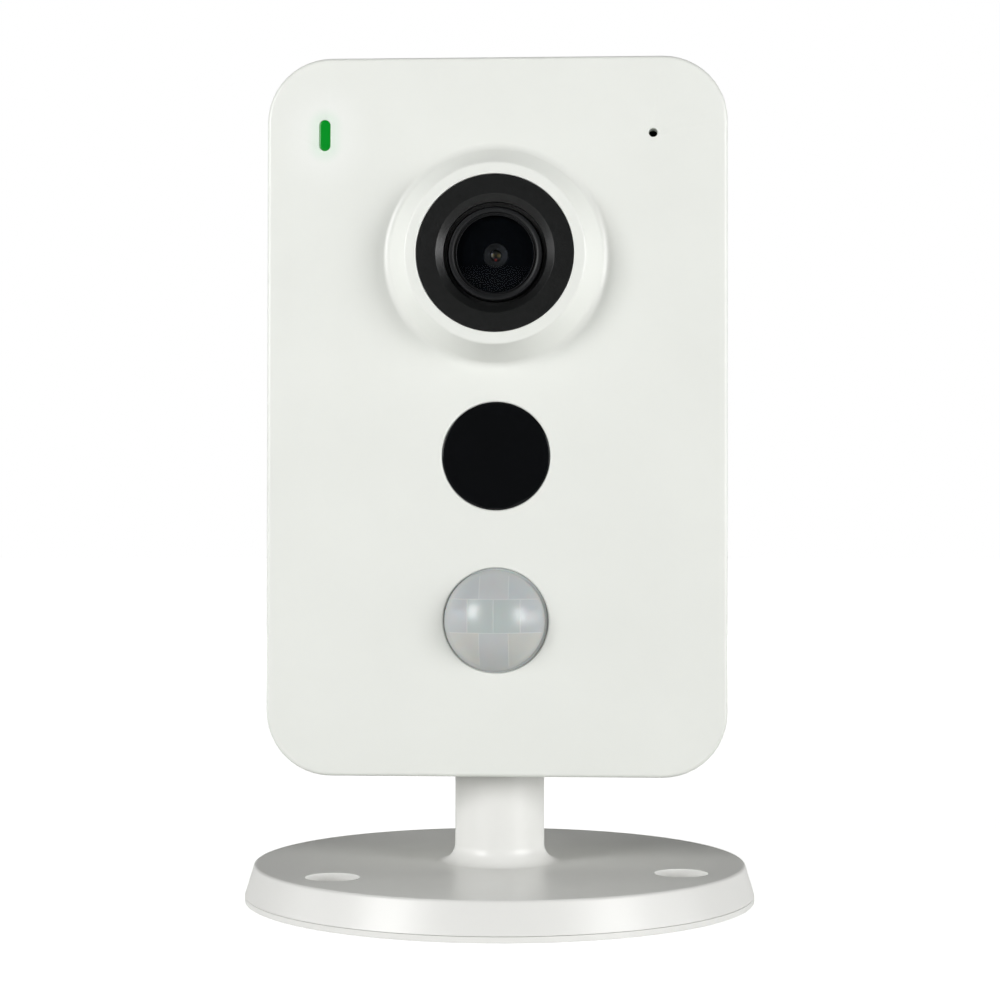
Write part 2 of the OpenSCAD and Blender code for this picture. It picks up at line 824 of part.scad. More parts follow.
socket_y = back_y - 0.2;
socket_deep = 10.5;
socket_w = 11.9;
socket_h = 8.2;
contact_w = 0.45;
contact_pitch = 1.02;

module ethernet_jack() {
    color("#2a2c2f") at(jack_x, jack_z) difference() {
        block(jack_w, jack_h, socket_y - jack_l, socket_y);
        block(socket_w, socket_h, socket_y - socket_deep, socket_y + cut);
        at(0, -socket_h / 2 - 1) block(6, 2.4, socket_y - socket_deep, socket_y + cut);
    }
}

module ethernet_contacts() {
    color("#d3a83c") at(jack_x, jack_z + socket_h / 2 - contact_w)
        for (k = [0:7]) at((k - 3.5) * contact_pitch, 0)
            block(contact_w, contact_w, socket_y - socket_deep + run_gap, socket_y - 2.5);
}

module power_jack() {
    color("#1d1e20") at(power_x, jack_z) difference() {
        block(power_w, power_h, board_back + half_gap, back_in - half_gap);
        along_y(back_in - power_deep, back_in + cut) circle(power_r);
        along_y(back_in - power_deep - 1.5, back_in) circle(1 + run_gap);
    }
}

module power_jack_pin() {
    color(steel) at(power_x, jack_z) along_y(back_in - power_deep - 1.4, back_in - 1) circle(1);
}

module card_socket() {
    color(steel) difference() {
        translate([-board_x, board_back + half_gap, card_z - card_h / 2])
            cube([card_l, card_t - half_gap, card_h]);
        translate([-board_x - cut, card_y, card_z - card_w / 2])
            cube([card_l - 0.6, card_slot_t, card_w]);
    }
}

// Button cap with its stem, seated in the back wall
module button() {
    end = switch_y + plunger_out + run_gap;
    along_y(end, back_y + button_proud) circle(button_r);
    along_y(back_in - seat_gap - button_flange_t, back_in - seat_gap) circle(button_flange_r);
}

module plunger() {
    along_y(switch_y - plunger_in, switch_y + plunger_out) circle(plunger_r);
}

module switch_body() {
    difference() {
        block(switch_w, switch_w, board_back + half_gap, switch_y);
        along_y(switch_y - plunger_in - button_travel - seat_gap, switch_y + cut)
            circle(plunger_r + run_gap);
    }
}

module reset_button() {
    color(black) at(button_x, button_z[0]) button();
}

module reset_plunger() {
    color("#caa") at(button_x, button_z[0]) plunger();
}

module reset_switch() {
    color(steel) at(button_x, button_z[0]) switch_body();
}

module pairing_button() {
    color("#8e9296") at(button_x, button_z[1]) button();
}

module pairing_plunger() {
    color("#caa") at(button_x, button_z[1]) plunger();
}

module pairing_switch() {
    color(steel) at(button_x, button_z[1]) switch_body();
}

speaker_back = back_in - half_gap;
speaker_front = speaker_back - speaker_t;
speaker_wall = 0.8;

module speaker_frame() {
    color("#2a2c2f") at(0, speaker_z) difference() {
        along_y(speaker_front, speaker_back) circle(speaker_r);
        along_y(speaker_front + speaker_wall, speaker_back + cut) circle(speaker_r - speaker_wall);
    }
}

module speaker_cone() {
    rim = speaker_r - speaker_wall - run_gap;
    rim_deep = 0.4;
    cone_t = 0.5;
    cone_deep = speaker_t - speaker_wall - 1.2;
    cap_r = 2;
    color("#4a4c50") at(0, speaker_z) turned(speaker_back) polygon([
        [0, cone_deep], [cap_r, cone_deep], [rim, rim_deep], [rim, rim_deep + cone_t],
        [cap_r, cone_deep + cone_t], [0, cone_deep + cone_t]]);
}

module speaker_magnet() {
    color(steel) at(0, speaker_z)
        along_y(speaker_front - speaker_magnet_t, speaker_front - half_gap) circle(speaker_magnet_r);
}

module ir_window() {
    color("#0c0e0f") at(0, ir_z) {
        along_y(face_y + run_gap, split_y + window_flange_t) circle(ir_r);
        along_y(split_y + run_gap, split_y + window_flange_t) circle(window_flange_r);
    }
}

module ir_shroud() {
    color(black) at(0, ir_z) difference() {
        along_y(split_y + window_flange_t + half_gap, shroud_back) circle(window_flange_r);
        along_y(split_y, shroud_back + cut) circle(window_flange_r - 1);
    }
}

module ir_led_board() {
    color(circuit) at(0, ir_z) along_y(shroud_back - led_board_t, shroud_back)
        circle(window_flange_r - 1 - run_gap);
}

module ir_leds() {
    board = shroud_back - led_board_t - half_gap;
    color("#cfd6dc") at(0, ir_z) both_sides() at(led_x, 0) turned(board) {
        square([led_r, 1]);
        intersection() {
            square([led_r, 2 * led_r]);
            translate([0, 0.6]) circle(led_r);
        }
    }
}

module pir_lens() {
    ball_r = (pow(pir_r, 2) + pow(pir_out, 2)) / (2 * pir_out);
    color("#c4c8c6") at(0, pir_z) {
        turned(face_y) difference() {
            union() {
                intersection() {
                    square([pir_r, pir_out]);
                    translate([0, pir_out - ball_r]) circle(ball_r);
                }
                translate([0, -panel_t]) square([pir_r, panel_t]);
            }
            intersection() {
                square([pir_r - pir_wall, pir_out]);
                translate([0, pir_out - ball_r]) circle(ball_r - pir_wall);
            }
            translate([0, -panel_t - cut]) square([pir_r - pir_wall, panel_t + cut]);
        }
        // The flange behind the panel stops above the pocket for the neck
        intersection() {
            along_y(split_y - cut / 2, split_y + pir_flange_t) difference() {
                circle(pir_r);
                circle(pir_r - pir_wall);
            }
            flange_room();
        }
        intersection() {
            along_y(split_y + run_gap, split_y + pir_flange_t) difference() {
                circle(pir_r + 1.2);
                circle(pir_r - pir_wall);
            }
            flange_room();
        }
    }
}

// Space above the neck's pocket, measured from the motion sensor's centre
module flange_room() {
    translate([-head_w / 2, face_y, pocket_top + seat_gap - pir_z]) cube([head_w, head_d, head_h]);
}

module pir_sensor() {
    color(steel) at(0, pir_z) along_y(pir_board_front - pir_can_t, pir_board_front - half_gap)
        circle(pir_can_r);
}

module pir_board() {
    bottom = pocket_top + seat_gap;
    color(circuit) translate([-pir_board_w / 2, pir_board_front, bottom])
        cube([pir_board_w, pir_board_t, board_z0 + pir_overlap - bottom]);
}

module status_light_pipe() {
    color("#009522") at(light_x, light_z) {
        along_y(face_y, board_front - led_t - seat_gap) light_outline(light_w, light_h);
        along_y(split_y + run_gap, split_y + pipe_collar)
            light_outline(light_w + 2 * pipe_collar, light_h + 2 * pipe_collar);
    }
}

module status_led() {
    color("#d9f0d6") at(light_x, light_z - 0.3)
        block(light_w, 1.8, board_front - led_t, board_front - half_gap);
}

module microphone_boot() {
    color("#2b2c2e") at(mic_x, mic_z) difference() {
        along_y(split_y + run_gap, board_front - mic_t - seat_gap) circle(boot_r);
        along_y(split_y - cut, board_front) circle(mic_r);
    }
}

module microphone() {
    color(steel) at(mic_x, mic_z - 0.6) block(3.6, 2.4, board_front - mic_t, board_front - half_gap);
}

base_shell();
base_cover();
ballast_plate();
rubber_feet();
cover_screws();
stalk();
pan_washer();
pan_screw();
tilt_pin();
tilt_nut();
tilt_washers();
front_panel();
rear_housing();
case_screws();
lens_trim_ring();
lens_barrel();
front_glass();
rear_glass();
lens_holder();
ir_cut_frame();
ir_cut_carriage();
ir_cut_filter();
clear_filter();
ir_cut_coil();
image_sensor();
sensor_board();
main_board();
board_headers();
board_screws();
processor();
heat_spreader();
wifi_shield();
wifi_antenna();
ethernet_jack();
ethernet_contacts();
power_jack();
power_jack_pin();
card_socket();
reset_button();
reset_plunger();
reset_switch();
pairing_button();
pairing_plunger();
pairing_switch();
speaker_frame();
speaker_cone();
speaker_magnet();
ir_window();
ir_shroud();
ir_led_board();
ir_leds();
pir_lens();
pir_sensor();
pir_board();
status_light_pipe();
status_led();
microphone_boot();
microphone();
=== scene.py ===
import math
from functools import partial

import bmesh
import bpy
from bpy.props import FloatProperty, FloatVectorProperty, PointerProperty
from mathutils import Euler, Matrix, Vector


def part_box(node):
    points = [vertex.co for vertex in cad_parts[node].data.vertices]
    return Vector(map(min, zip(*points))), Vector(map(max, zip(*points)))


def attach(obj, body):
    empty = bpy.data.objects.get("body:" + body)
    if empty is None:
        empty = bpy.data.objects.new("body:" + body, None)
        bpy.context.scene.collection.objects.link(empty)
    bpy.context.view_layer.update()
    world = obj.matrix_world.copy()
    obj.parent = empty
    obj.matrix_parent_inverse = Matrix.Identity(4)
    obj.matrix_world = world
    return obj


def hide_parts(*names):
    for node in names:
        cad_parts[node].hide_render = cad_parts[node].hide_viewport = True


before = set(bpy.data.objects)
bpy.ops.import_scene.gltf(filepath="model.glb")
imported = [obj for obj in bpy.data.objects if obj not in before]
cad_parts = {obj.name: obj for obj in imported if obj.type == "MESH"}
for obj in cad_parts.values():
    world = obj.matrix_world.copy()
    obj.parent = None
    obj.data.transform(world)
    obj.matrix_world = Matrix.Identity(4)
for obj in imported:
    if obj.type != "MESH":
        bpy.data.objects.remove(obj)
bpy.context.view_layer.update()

bl_info = {
    "name": "Security Camera Finish",
    "version": (1, 0, 0),
    "blender": (4, 5, 0),
    "location": "3D View > Sidebar > Security Camera",
    "description": "Builds the shown surfaces of a desk or wall security camera over its packed solids",
    "category": "Object",
}

MM = 0.001
FINE = 192  # sides of a full circle on the largest turned pieces
ROUND = 96  # sides of a full circle on the windows
SMALL = 48  # sides of a full circle on small holes and posts
TINY = 32  # sides of a full circle on the bores for the cover's screws
MERGE = 2e-6  # how near the corners of a CAD node's loose triangles lie, in metres
CREASE = math.radians(35)  # least angle of an edge of a CAD node that is rounded


def middle(node):
    """Middle of a CAD node's box."""
    low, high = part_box(node)
    return (low + high) / 2


def radius_of(node):
    """Half the width of a CAD node."""
    low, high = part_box(node)
    return (high.x - low.x) / 2


PANEL_LOW, PANEL_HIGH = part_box("front_panel")
HEAD_W = PANEL_HIGH.x - PANEL_LOW.x
HEAD_H = PANEL_HIGH.z - PANEL_LOW.z
HEAD_Z = PANEL_LOW.z  # foot of the head
LIP_Y = PANEL_LOW.y  # front of the lens bezel
FACE_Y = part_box("status_light_pipe")[0].y  # flat face of the front panel
SPLIT_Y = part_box("lens_trim_ring")[1].y  # where the front panel meets the rear housing
SEAT_Y = SPLIT_Y + 0.05 * MM  # front of the flanges that sit behind the front panel
BASE_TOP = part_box("base_shell")[1].z

LENS = middle("lens_trim_ring")
IR = middle("ir_window")
PIR = middle("pir_lens")
PIR.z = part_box("pir_lens")[1].z - radius_of("pir_lens")
LIGHT = middle("status_light_pipe")
MIC = middle("microphone_boot")
IR_R = 7.75 * MM  # radius of the infrared window where it passes through the front panel
PIR_R = 7.5 * MM  # radius of the motion sensor's lens there
LIGHT_W, LIGHT_H = 1.57 * MM, 4.43 * MM  # width and height of the status light

# Microphone hole: radius and depth behind the face, in millimetres
MIC_HOLE = ((0.75, 0.0), (0.68, 0.03), (0.65, 0.1))
# Edge of the status light's slot: how much wider than the light, and depth behind the face, in millimetres
LIGHT_HOLE = ((0.11, 0.0), (0.05, 0.03), (0.04, 0.1))
# Rounded edge of the status light, measured in the same way
LIGHT_EDGE = ((-0.3, 0.0), (-0.12, 0.01), (-0.03, 0.05), (0.0, 0.14))
# Front rim of the lens barrel, from outside round to the seat: radius and depth behind its front, in mm
BARREL_RIM = ((6.75, 0.9), (6.69, 0.3), (6.64, 0.12), (6.56, 0.03), (6.4, 0.0), (6.12, 0.03), (5.98, 0.1),
              (5.94, 0.62), (5.7, 0.64), (5.68, 0.52), (5.63, 0.46), (5.57, 0.46), (5.53, 0.5), (5.53, 0.7),
              (5.76, 0.72))
# Bearings of the base's fixing recesses in degrees
RECESS_BEARINGS = (97.6, 217.6, 337.6)

# Softboxes: bearing from the front and height angle in degrees, width and height in metres, name of the power
SOFTBOXES = {
    "softbox_left": (-47, 15, 0.3, 0.38, "left_power"),
    "softbox_right": (54, 9, 0.3, 0.36, "right_power"),
    "softbox_side_left": (-84, 4, 0.5, 0.26, "side_left_power"),
    "softbox_side_right": (80, 3, 0.5, 0.24, "side_right_power"),
    "softbox_rear_left": (-152, 0, 0.5, 0.12, "rear_power"),
    "softbox_rear_right": (152, 0, 0.5, 0.12, "rear_power"),
}


# ---- Settings ----

def linear(code):
    """Turns an sRGB hex colour into the linear colour that shaders use."""
    shares = [int(code[i:i + 2], 16) / 255 for i in (1, 3, 5)]
    return tuple(s / 12.92 if s <= 0.04045 else ((s + 0.055) / 1.055) ** 2.4 for s in shares) + (1.0,)


def length(label, mm, about):
    """A size in metres, given in millimetres."""
    return FloatProperty(name=label, description=about, default=mm * MM, min=0.0, precision=5, unit="LENGTH")


def angle(label, degrees, about):
    """An angle in radians, given in degrees."""
    return FloatProperty(name=label, description=about, default=math.radians(degrees), subtype="ANGLE")


def number(label, value, about, **kind):
    """A number of 0 or more."""
    return FloatProperty(name=label, description=about, default=value, min=0.0, **kind)


def colour(label, code, about):
    """A colour, given as an sRGB hex code."""
    return FloatVectorProperty(name=label, description=about, default=linear(code), size=4, min=0.0, max=1.0,
                               subtype="COLOR")


class StageSettings(bpy.types.PropertyGroup):
    """Camera, lamps and floor."""
    distance: length("Camera distance", 329, "How far ahead of the stand's axis the camera stands")
    height: length("Camera height", 54.3, "Height of the camera above the floor")
    aside: length("Camera offset", 16.7, "How far the camera stands to the right of the stand's axis")
    turn: angle("Camera turn", 2.91, "How far the camera turns to its left")
    rise: angle("Camera rise", 0.795, "How far the camera looks up")
    roll: angle("Camera roll", 0.08, "How far the camera rolls")
    lens: number("Focal length", 79.67, "Focal length, for a 36 mm wide sensor", unit="CAMERA")
    lamp_distance: length("Lamp distance", 800, "How far the softboxes stand from the object")
    left_power: number("Left softbox", 4.0, "Power of the left softbox", unit="POWER")
    right_power: number("Right softbox", 3.3, "Power of the right softbox", unit="POWER")
    side_left_power: number("Left side softbox", 1.0, "Power of the softbox on the left side",
                            unit="POWER")
    side_right_power: number("Right side softbox", 1.55, "Power of the softbox on the right side",
                             unit="POWER")
    rear_power: number("Rear softboxes", 2.2, "Power of each rear softbox", unit="POWER")
    room: number("Room light", 0.05, "Strength of the light that the room gives from all sides")
    mirrored: number("Mirrored background", 0.015, "Strength at which gloss mirrors the background",
                     max=1.0)
    floor: colour("Floor", "#F2F2F0", "Colour of the floor")


class WhiteSettings(bpy.types.PropertyGroup):
    """The white plastic."""
    light: colour("Light shade", "#ECEEE9", "Lighter of the two near shades of the head's plastic")
    dark: colour("Dark shade", "#E6E8E3", "Darker of the two near shades of the head's plastic")
    stand_light: colour("Stand light shade", "#ECECE9", "Lighter of the two shades of the stand's plastic")
    stand_dark: colour("Stand dark shade", "#E6E6E3", "Darker of the two shades of the stand's plastic")


class HeadSettings(bpy.types.PropertyGroup):
    """Front panel and its openings."""
    corner: length("Corner radius", 9.3, "Radius of the head's corners, seen from the front")
    edge: length("Edge rounding", 0.6, "Rounding of the front panel's outer edge")
    seam: length("Seam rounding", 0.15, "Rounding of the two edges that meet at the seam round the head")
    hole_edge: length("Hole rounding", 0.3, "Rounding of the edge of each window's opening")
    bezel_foot: length("Bezel foot radius", 15.6, "Radius where the bezel's slope meets the face")
    bezel_lip: length("Bezel lip radius", 12.9, "Outer radius of the bezel's flat lip")
    bezel_sweep: length("Bezel sweep", 1.5, "Radius of the hollow between the face and the bezel's slope")
    bezel_round: length("Bezel rounding", 0.5, "Rounding of the bezel's lip")


class LensSettings(bpy.types.PropertyGroup):
    """Lens, its trim ring and its glass."""
    flat: length("Ring flat radius", 8.45, "Radius where the trim ring's flat front ends")
    bore: length("Ring bore radius", 7.4, "Bore radius of the trim ring")
    slope: length("Ring slope depth", 0.95, "How far back the trim ring's slope runs")
    shelf: length("Ring shelf depth", 2.1, "How far back the shelf inside the trim ring's bore lies")
    ledge: length("Ring shelf radius", 6.88, "Radius of the hole in the trim ring's shelf")
    iris: length("Iris radius", 1.8, "Radius of the iris plate in the middle of the lens")
    pupil: length("Pupil radius", 0.85, "Radius of the opening in the iris plate")
    iris_deep: length("Iris depth", 2.2, "How far behind the barrel's front the iris plate appears")
    bulge: length("Glass bulge", 0.7, "How far the middle of the front glass stands out")
    ring: colour("Trim ring", "#101111", "Colour of the trim ring")
    barrel: colour("Barrel", "#0B0C0E", "Colour of the lens barrel")


class WindowSettings(bpy.types.PropertyGroup):
    """Infrared window, motion sensor lens and status light."""
    dome: length("Dome radius", 7.22, "Radius of the motion sensor's dome where it passes through the panel")
    wall: length("Dome wall", 0.8, "Wall of the motion sensor's dome")
    brim: length("Dome brim depth", 0.3, "How far behind the face the brim round the dome lies")
    dome_aside: length("Dome play", 0.18, "How far the dome sits to the left in its opening")
    infrared: colour("Infrared window", "#0C0D0E", "Colour of the infrared window")
    milky: colour("Motion sensor lens", "#B0B5B9", "Colour of the motion sensor's domed lens")
    light: colour("Status light", "#009522", "Colour of the status light")
    glow: number("Glow", 0.55, "Strength of the status light")


class StandSettings(bpy.types.PropertyGroup):
    """Base and neck."""
    rim_round: length("Rim rounding", 0.5, "Rounding of the rim of the base")
    rim_slope: length("Rim slope", 1.4, "How much smaller the base's top is than its foot, as a radius")
    hole_round: length("Recess rounding", 0.12, "Rounding of the edge of each fixing recess")
    wall: length("Wall", 2.0, "Wall of the base's shell")
    post: length("Post radius", 6.6, "Radius of the neck's post")
    foot_sink: length("Foot drop", 0.12, "How far the edge of the neck's foot is drawn down onto the base")


class FastenerSettings(bpy.types.PropertyGroup):
    """Screws of the head and the base."""
    slot_w: length("Recess width", 0.62, "Width of the blades of the cross recess of the head's screws")
    slot_share: number("Recess share", 0.62, "Share of the head's width that the cross covers", max=0.9)
    dome: length("Head dome", 0.35, "How far a screw head's middle stands above its rim")


class CameraSettings(bpy.types.PropertyGroup):
    """All settings of the security camera."""
    stage: PointerProperty(type=StageSettings)
    white: PointerProperty(type=WhiteSettings)
    head: PointerProperty(type=HeadSettings)
    lens: PointerProperty(type=LensSettings)
    windows: PointerProperty(type=WindowSettings)
    stand: PointerProperty(type=StandSettings)
    fasteners: PointerProperty(type=FastenerSettings)


# ---- Nodes ----

BUMP = "ShaderNodeBump"
COMBINE = "ShaderNodeCombineXYZ"
COORDINATES = "ShaderNodeTexCoord"
MAPPING = "ShaderNodeMapping"
MATH = "ShaderNodeMath"
MIX = "ShaderNodeMix"  # its inputs 6 and 7 are its two colours
NOISE = "ShaderNodeTexNoise"
RANGE = "ShaderNodeMapRange"  # its inputs are the value, from least and most, to least and most
SEPARATE = "ShaderNodeSeparateXYZ"
VECTOR = "ShaderNodeVectorMath"


def feed(node, inputs):
    """Sets a node's inputs, by name or number or in order: to a value, a hex colour, a socket or a node."""
    for key, value in inputs.items() if isinstance(inputs, dict) else enumerate(inputs):
        if isinstance(value, bpy.types.Node):
            value = next(socket for socket in value.outputs if socket.enabled)
        if isinstance(value, bpy.types.NodeSocket):
            node.id_data.links.new(value, node.inputs[key])
        else:
            node.inputs[key].default_value = linear(value) if isinstance(value, str) else value


def add(tree, kind, inputs=(), **settings):
    """Adds a node to a tree, with its settings and what feeds it."""
    node = tree.nodes.new(kind)
    for name, value in settings.items():
        setattr(node, name, value)
    feed(node, inputs)
    return node


# ---- Materials ----

def begin(name, constants=()):
    """Starts a material. Returns it, a function that adds nodes, its shader and its Object coordinates."""
    made = bpy.data.materials.new(name)
    made.use_nodes = True
    shader = made.node_tree.nodes["Principled BSDF"]
    feed(shader, dict(constants))
    node = partial(add, made.node_tree)
    return made, node, shader, node(COORDINATES).outputs["Object"]


def dress(shader, shade, polish, height, relief):
    """Gives a shader its colour, its roughness and a relief of that height in millimetres."""
    bump = add(shader.id_data, BUMP, {"Strength": 1.0, "Distance": relief * MM, "Height": height})
    feed(shader, {"Base Color": shade, "Roughness": polish, "Normal": bump})


def grained(name, shades, patch, grain, relief, rough, constants=()):
    """A material of two near shades that drift in patches, with a fine grain over them.

    patch, grain and relief are real sizes in millimetres: of a patch, of a grain and of the grain's height.
    rough is the least and the greatest roughness.
    """
    made, node, shader, place = begin(name, constants)
    drift = node(NOISE, {"Vector": place, "Scale": 1 / (patch * MM), "Detail": 3.0})
    shade = node(MIX, {0: drift, 6: shades[0], 7: shades[1]}, data_type="RGBA")
    fine = node(NOISE, {"Vector": place, "Scale": 1 / (grain * MM), "Detail": 2.0})
    polish = node(RANGE, (fine, 0.3, 0.7, *rough))
    dress(shader, shade, polish, fine, relief)
    return made


def centred(node, place, centre):
    """Coordinates from a centre on the head's front. Returns them, and their parts across and up."""
    moved = node(MAPPING, {"Vector": place, "Location": (-centre.x, 0.0, -centre.z)})
    parts = node(SEPARATE, (moved,))
    return moved, parts.outputs["X"], parts.outputs["Z"]


def away_from(node, across, up):
    """Straight distance from the centre of a way across and a way up."""
    return node(VECTOR, (node(COMBINE, (across, 0.0, up)),), operation="LENGTH")


def ripples(node, away, pitch):
    """Rings round a centre, pitch millimetres apart."""
    waves = node(MATH, (away, 2 * math.pi / (pitch * MM)), operation="MULTIPLY")
    return node(MATH, (waves,), operation="SINE")


def white_stand(settings):
    """White ABS of the stand, from another batch than the head's: more neutral, with a satin sheen."""
    white = settings.white
    return grained("moulded_white_abs_stand", (white.stand_dark, white.stand_light), 14, 0.32, 0.0016,
                   (0.33, 0.39), {"IOR": 1.53})


def white_textured(settings):
    """White ABS from a coarse spark-eroded mould, as on housings' backs: less sheen than the front."""
    white = settings.white
    return grained("textured_white_abs", (white.dark, white.light), 14, 0.4, 0.006, (0.38, 0.46),
                   {"IOR": 1.53})


def white_panel(settings):
    """White ABS from a fine spark-eroded mould: a satin sheen with a faint grain.

    Beside the status light it is thin enough for the light's green to glow through; that glow is painted into
    its colour, paler and greener near the light.
    """
    white = settings.white
    made = grained("moulded_white_abs_panel", (white.dark, white.light), 14, 0.32, 0.0016, (0.3, 0.36),
                   {"IOR": 1.53})
    node = partial(add, made.node_tree)
    shader = made.node_tree.nodes["Principled BSDF"]
    shade = shader.inputs["Base Color"].links[0].from_socket
    _, across, up = centred(node, node(COORDINATES).outputs["Object"], LIGHT)
    # The light guide has a flange, so its box gives the height of the straight part between its round ends
    low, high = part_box("status_light_pipe")
    straight = (high.z - low.z - (high.x - low.x)) / 2
    past = node(MATH, (node(MATH, (up,), operation="ABSOLUTE"), straight), operation="SUBTRACT")
    end = node(MATH, (past, 0.0), operation="MAXIMUM")
    away = away_from(node, across, end)
    # Painted glow of the status light through the thin plastic: the wide pale one reaches 8 mm, the green one
    # 3 mm
    for reach, strength, tint in ((8.0, 0.45, "#F4F6F3"), (3.0, 0.3, "#BFE3C8")):
        near = node(RANGE, (away, 0.8 * MM, reach * MM, strength, 0.0), interpolation_type="SMOOTHSTEP")
        shade = node(MIX, {0: near, 6: shade, 7: tint}, data_type="RGBA")
    feed(shader, {"Base Color": shade})
    return made


def trim_black(settings):
    """Black polycarbonate with a matt, finely sparked face, so it reads as charcoal."""
    return grained("matt_black_polycarbonate", (settings.lens.ring, "#171818"), 0.4, 0.2, 0.02, (0.28, 0.38),
                   {"IOR": 1.5})


def barrel_black(settings):
    """Black anodised aluminium, turned on a lathe: dark, with thin bright arcs on its edges."""
    made, node, shader, place = begin("black_anodised_aluminium", {"IOR": 1.42})
    _, across, up = centred(node, place, LENS)
    # Turning marks are finer than this, and 0.12 mm is as fine as shows
    rings = ripples(node, away_from(node, across, up), 0.12)
    speck = node(NOISE, {"Vector": place, "Scale": 1 / (0.18 * MM), "Detail": 3.0})
    height = node(MATH, (rings, 0.35, speck), operation="MULTIPLY_ADD")
    shade = node(MIX, {0: speck, 6: settings.lens.barrel, 7: "#101214"}, data_type="RGBA")
    polish = node(RANGE, (speck, 0.3, 0.7, 0.4, 0.5))
    dress(shader, shade, polish, height, 0.002)
    return made


def coated_glass(settings):
    """Optical glass whose coating takes away most of its reflection, which the low IOR stands for."""
    made, node, shader, place = begin("coated_lens_glass", {
        "IOR": 1.15, "Transmission Weight": 1.0, "Roughness": 0.0})
    dust = node(NOISE, {"Vector": place, "Scale": 1 / (1.6 * MM), "Detail": 4.0})
    feed(shader, {"Base Color": node(MIX, {0: dust, 6: "#C3CCDD", 7: "#CDD6E4"}, data_type="RGBA")})
    return made


def pupil_glass(settings):
    """The inner lens behind the iris: dark and warm, with painted highlights, amber on both sides and red
    below.
    """
    made, node, shader, place = begin("amber_coated_glass", {"Roughness": 0.3, "IOR": 1.4})
    moved, across, up = centred(node, place, LENS)
    cloud = node(NOISE, {"Vector": moved, "Scale": 1 / (0.4 * MM), "Detail": 2.0})
    shade = node(MIX, {0: cloud, 6: "#070704", 7: "#100E07"}, data_type="RGBA")
    aside = node(MATH, (across,), operation="ABSOLUTE")
    # Each painted highlight: across, height and radius in millimetres, and its colour
    for glint_across, glint_up, radius, tint in ((0.46, 0.02, 0.42, "#5A4914"), (0.0, -0.62, 0.28, "#7A1E16")):
        dx = node(MATH, (aside, glint_across * MM), operation="SUBTRACT")
        dz = node(MATH, (up, glint_up * MM), operation="SUBTRACT")
        near = node(RANGE, (away_from(node, dx, dz), 0.0, radius * MM, 1.0, 0.0),
                    interpolation_type="SMOOTHSTEP")
        shade = node(MIX, {0: near, 6: shade, 7: tint}, data_type="RGBA")
    feed(shader, {"Base Color": shade})
    return made


def infrared_black(settings):
    """Acrylic dyed to let infrared through only: polished and all but black."""
    return grained("infrared_black_acrylic", (settings.windows.infrared, "#0E0F11"), 5, 0.5, 0.0002,
                   (0.05, 0.09), {"IOR": 1.35})


def milky(settings):
    """Milky polyethylene, moulded with a grid of lens cells: each cell scatters a little differently."""
    made, node, shader, place = begin("milky_polyethylene", {
        "IOR": 1.52, "Subsurface Weight": 0.25, "Subsurface Scale": 0.001, "Coat Weight": 0.3,
        "Coat Roughness": 0.2})
    _, across, up = centred(node, place, PIR)
    # The middle row of cells is 4.8 mm high, and its two inner cells are 3.75 mm wide. The inner cell of the
    # rows above and below it is 4.16 mm wide.
    row = node(MATH, (node(MATH, (up, -0.75 * MM), operation="ADD"),), operation="ABSOLUTE")
    from_row = node(MATH, (row, 2.4 * MM), operation="SUBTRACT")
    outer_row = node(MATH, (from_row, 0.0), operation="GREATER_THAN")
    side = node(MATH, (node(MATH, (across, 0.15 * MM), operation="ADD"),), operation="ABSOLUTE")
    reach = node(RANGE, (outer_row, 0.0, 1.0, 3.75 * MM, 2.08 * MM))
    from_side = node(MATH, (side, reach), operation="SUBTRACT")
    inner = node(MATH, (from_side, 0.0), operation="LESS_THAN")
    # The seams are soft grooves 0.2 mm wide: along the rows and sides, and down the middle row's middle
    seam = node(MATH, (outer_row, 1.0, side), operation="MULTIPLY_ADD")
    for edge in (from_row, from_side):
        seam = node(MATH, (seam, node(MATH, (edge,), operation="ABSOLUTE")), operation="MINIMUM")
    line = node(RANGE, (seam, 0.03 * MM, 0.1 * MM, 1.0, 0.0))
    faint = node(MATH, (line, 0.34), operation="MULTIPLY")
    # The lower outer cells are the palest
    below = node(MATH, (up, -1.65 * MM), operation="LESS_THAN")
    beside = node(MATH, (1.0, inner), operation="SUBTRACT")
    corner = node(MATH, (below, beside), operation="MULTIPLY")
    # The cells end about 0.4 mm short of the dome's edge, in a plain rim
    away = away_from(node, across, up)
    rim = node(RANGE, (away, 6.7 * MM, 6.85 * MM, 0.0, 0.85))
    drift = node(NOISE, {"Vector": place, "Scale": 1 / (4 * MM), "Detail": 2.0})
    shade = node(MIX, {0: drift, 6: settings.windows.milky, 7: "#B9BDBE"}, data_type="RGBA")
    inner_tint = node(MIX, {0: outer_row, 6: "#B1B9B8", 7: "#BABDBE"}, data_type="RGBA")
    for share, tint in ((inner, inner_tint), (corner, "#C0C1BD"), (faint, "#DADCD8"), (rim, "#B9BCBB")):
        shade = node(MIX, {0: share, 6: shade, 7: tint}, data_type="RGBA")
    # Rings of the lens cells, 0.45 mm apart
    height = node(MATH, (ripples(node, away, 0.45), 0.03, line), operation="MULTIPLY_ADD")
    dress(shader, shade, node(RANGE, (drift, 0.0, 1.0, 0.32, 0.38)), height, 0.02)
    return made


def light_green(settings):
    """A green-dyed acrylic light guide, lit from behind: an even green under a polished face."""
    windows = settings.windows
    made, node, shader, place = begin("green_light_guide", {"IOR": 1.49, "Roughness": 0.25,
                                                            "Emission Strength": windows.glow})
    drift = node(NOISE, {"Vector": place, "Scale": 1 / (2.5 * MM), "Detail": 2.0})
    shade = node(MIX, {0: drift, 6: windows.light, 7: "#008E28"}, data_type="RGBA")
    dull = node(MIX, {0: 0.6, 6: shade, 7: "#000000"}, data_type="RGBA")
    feed(shader, {"Base Color": dull, "Emission Color": shade})
    return made


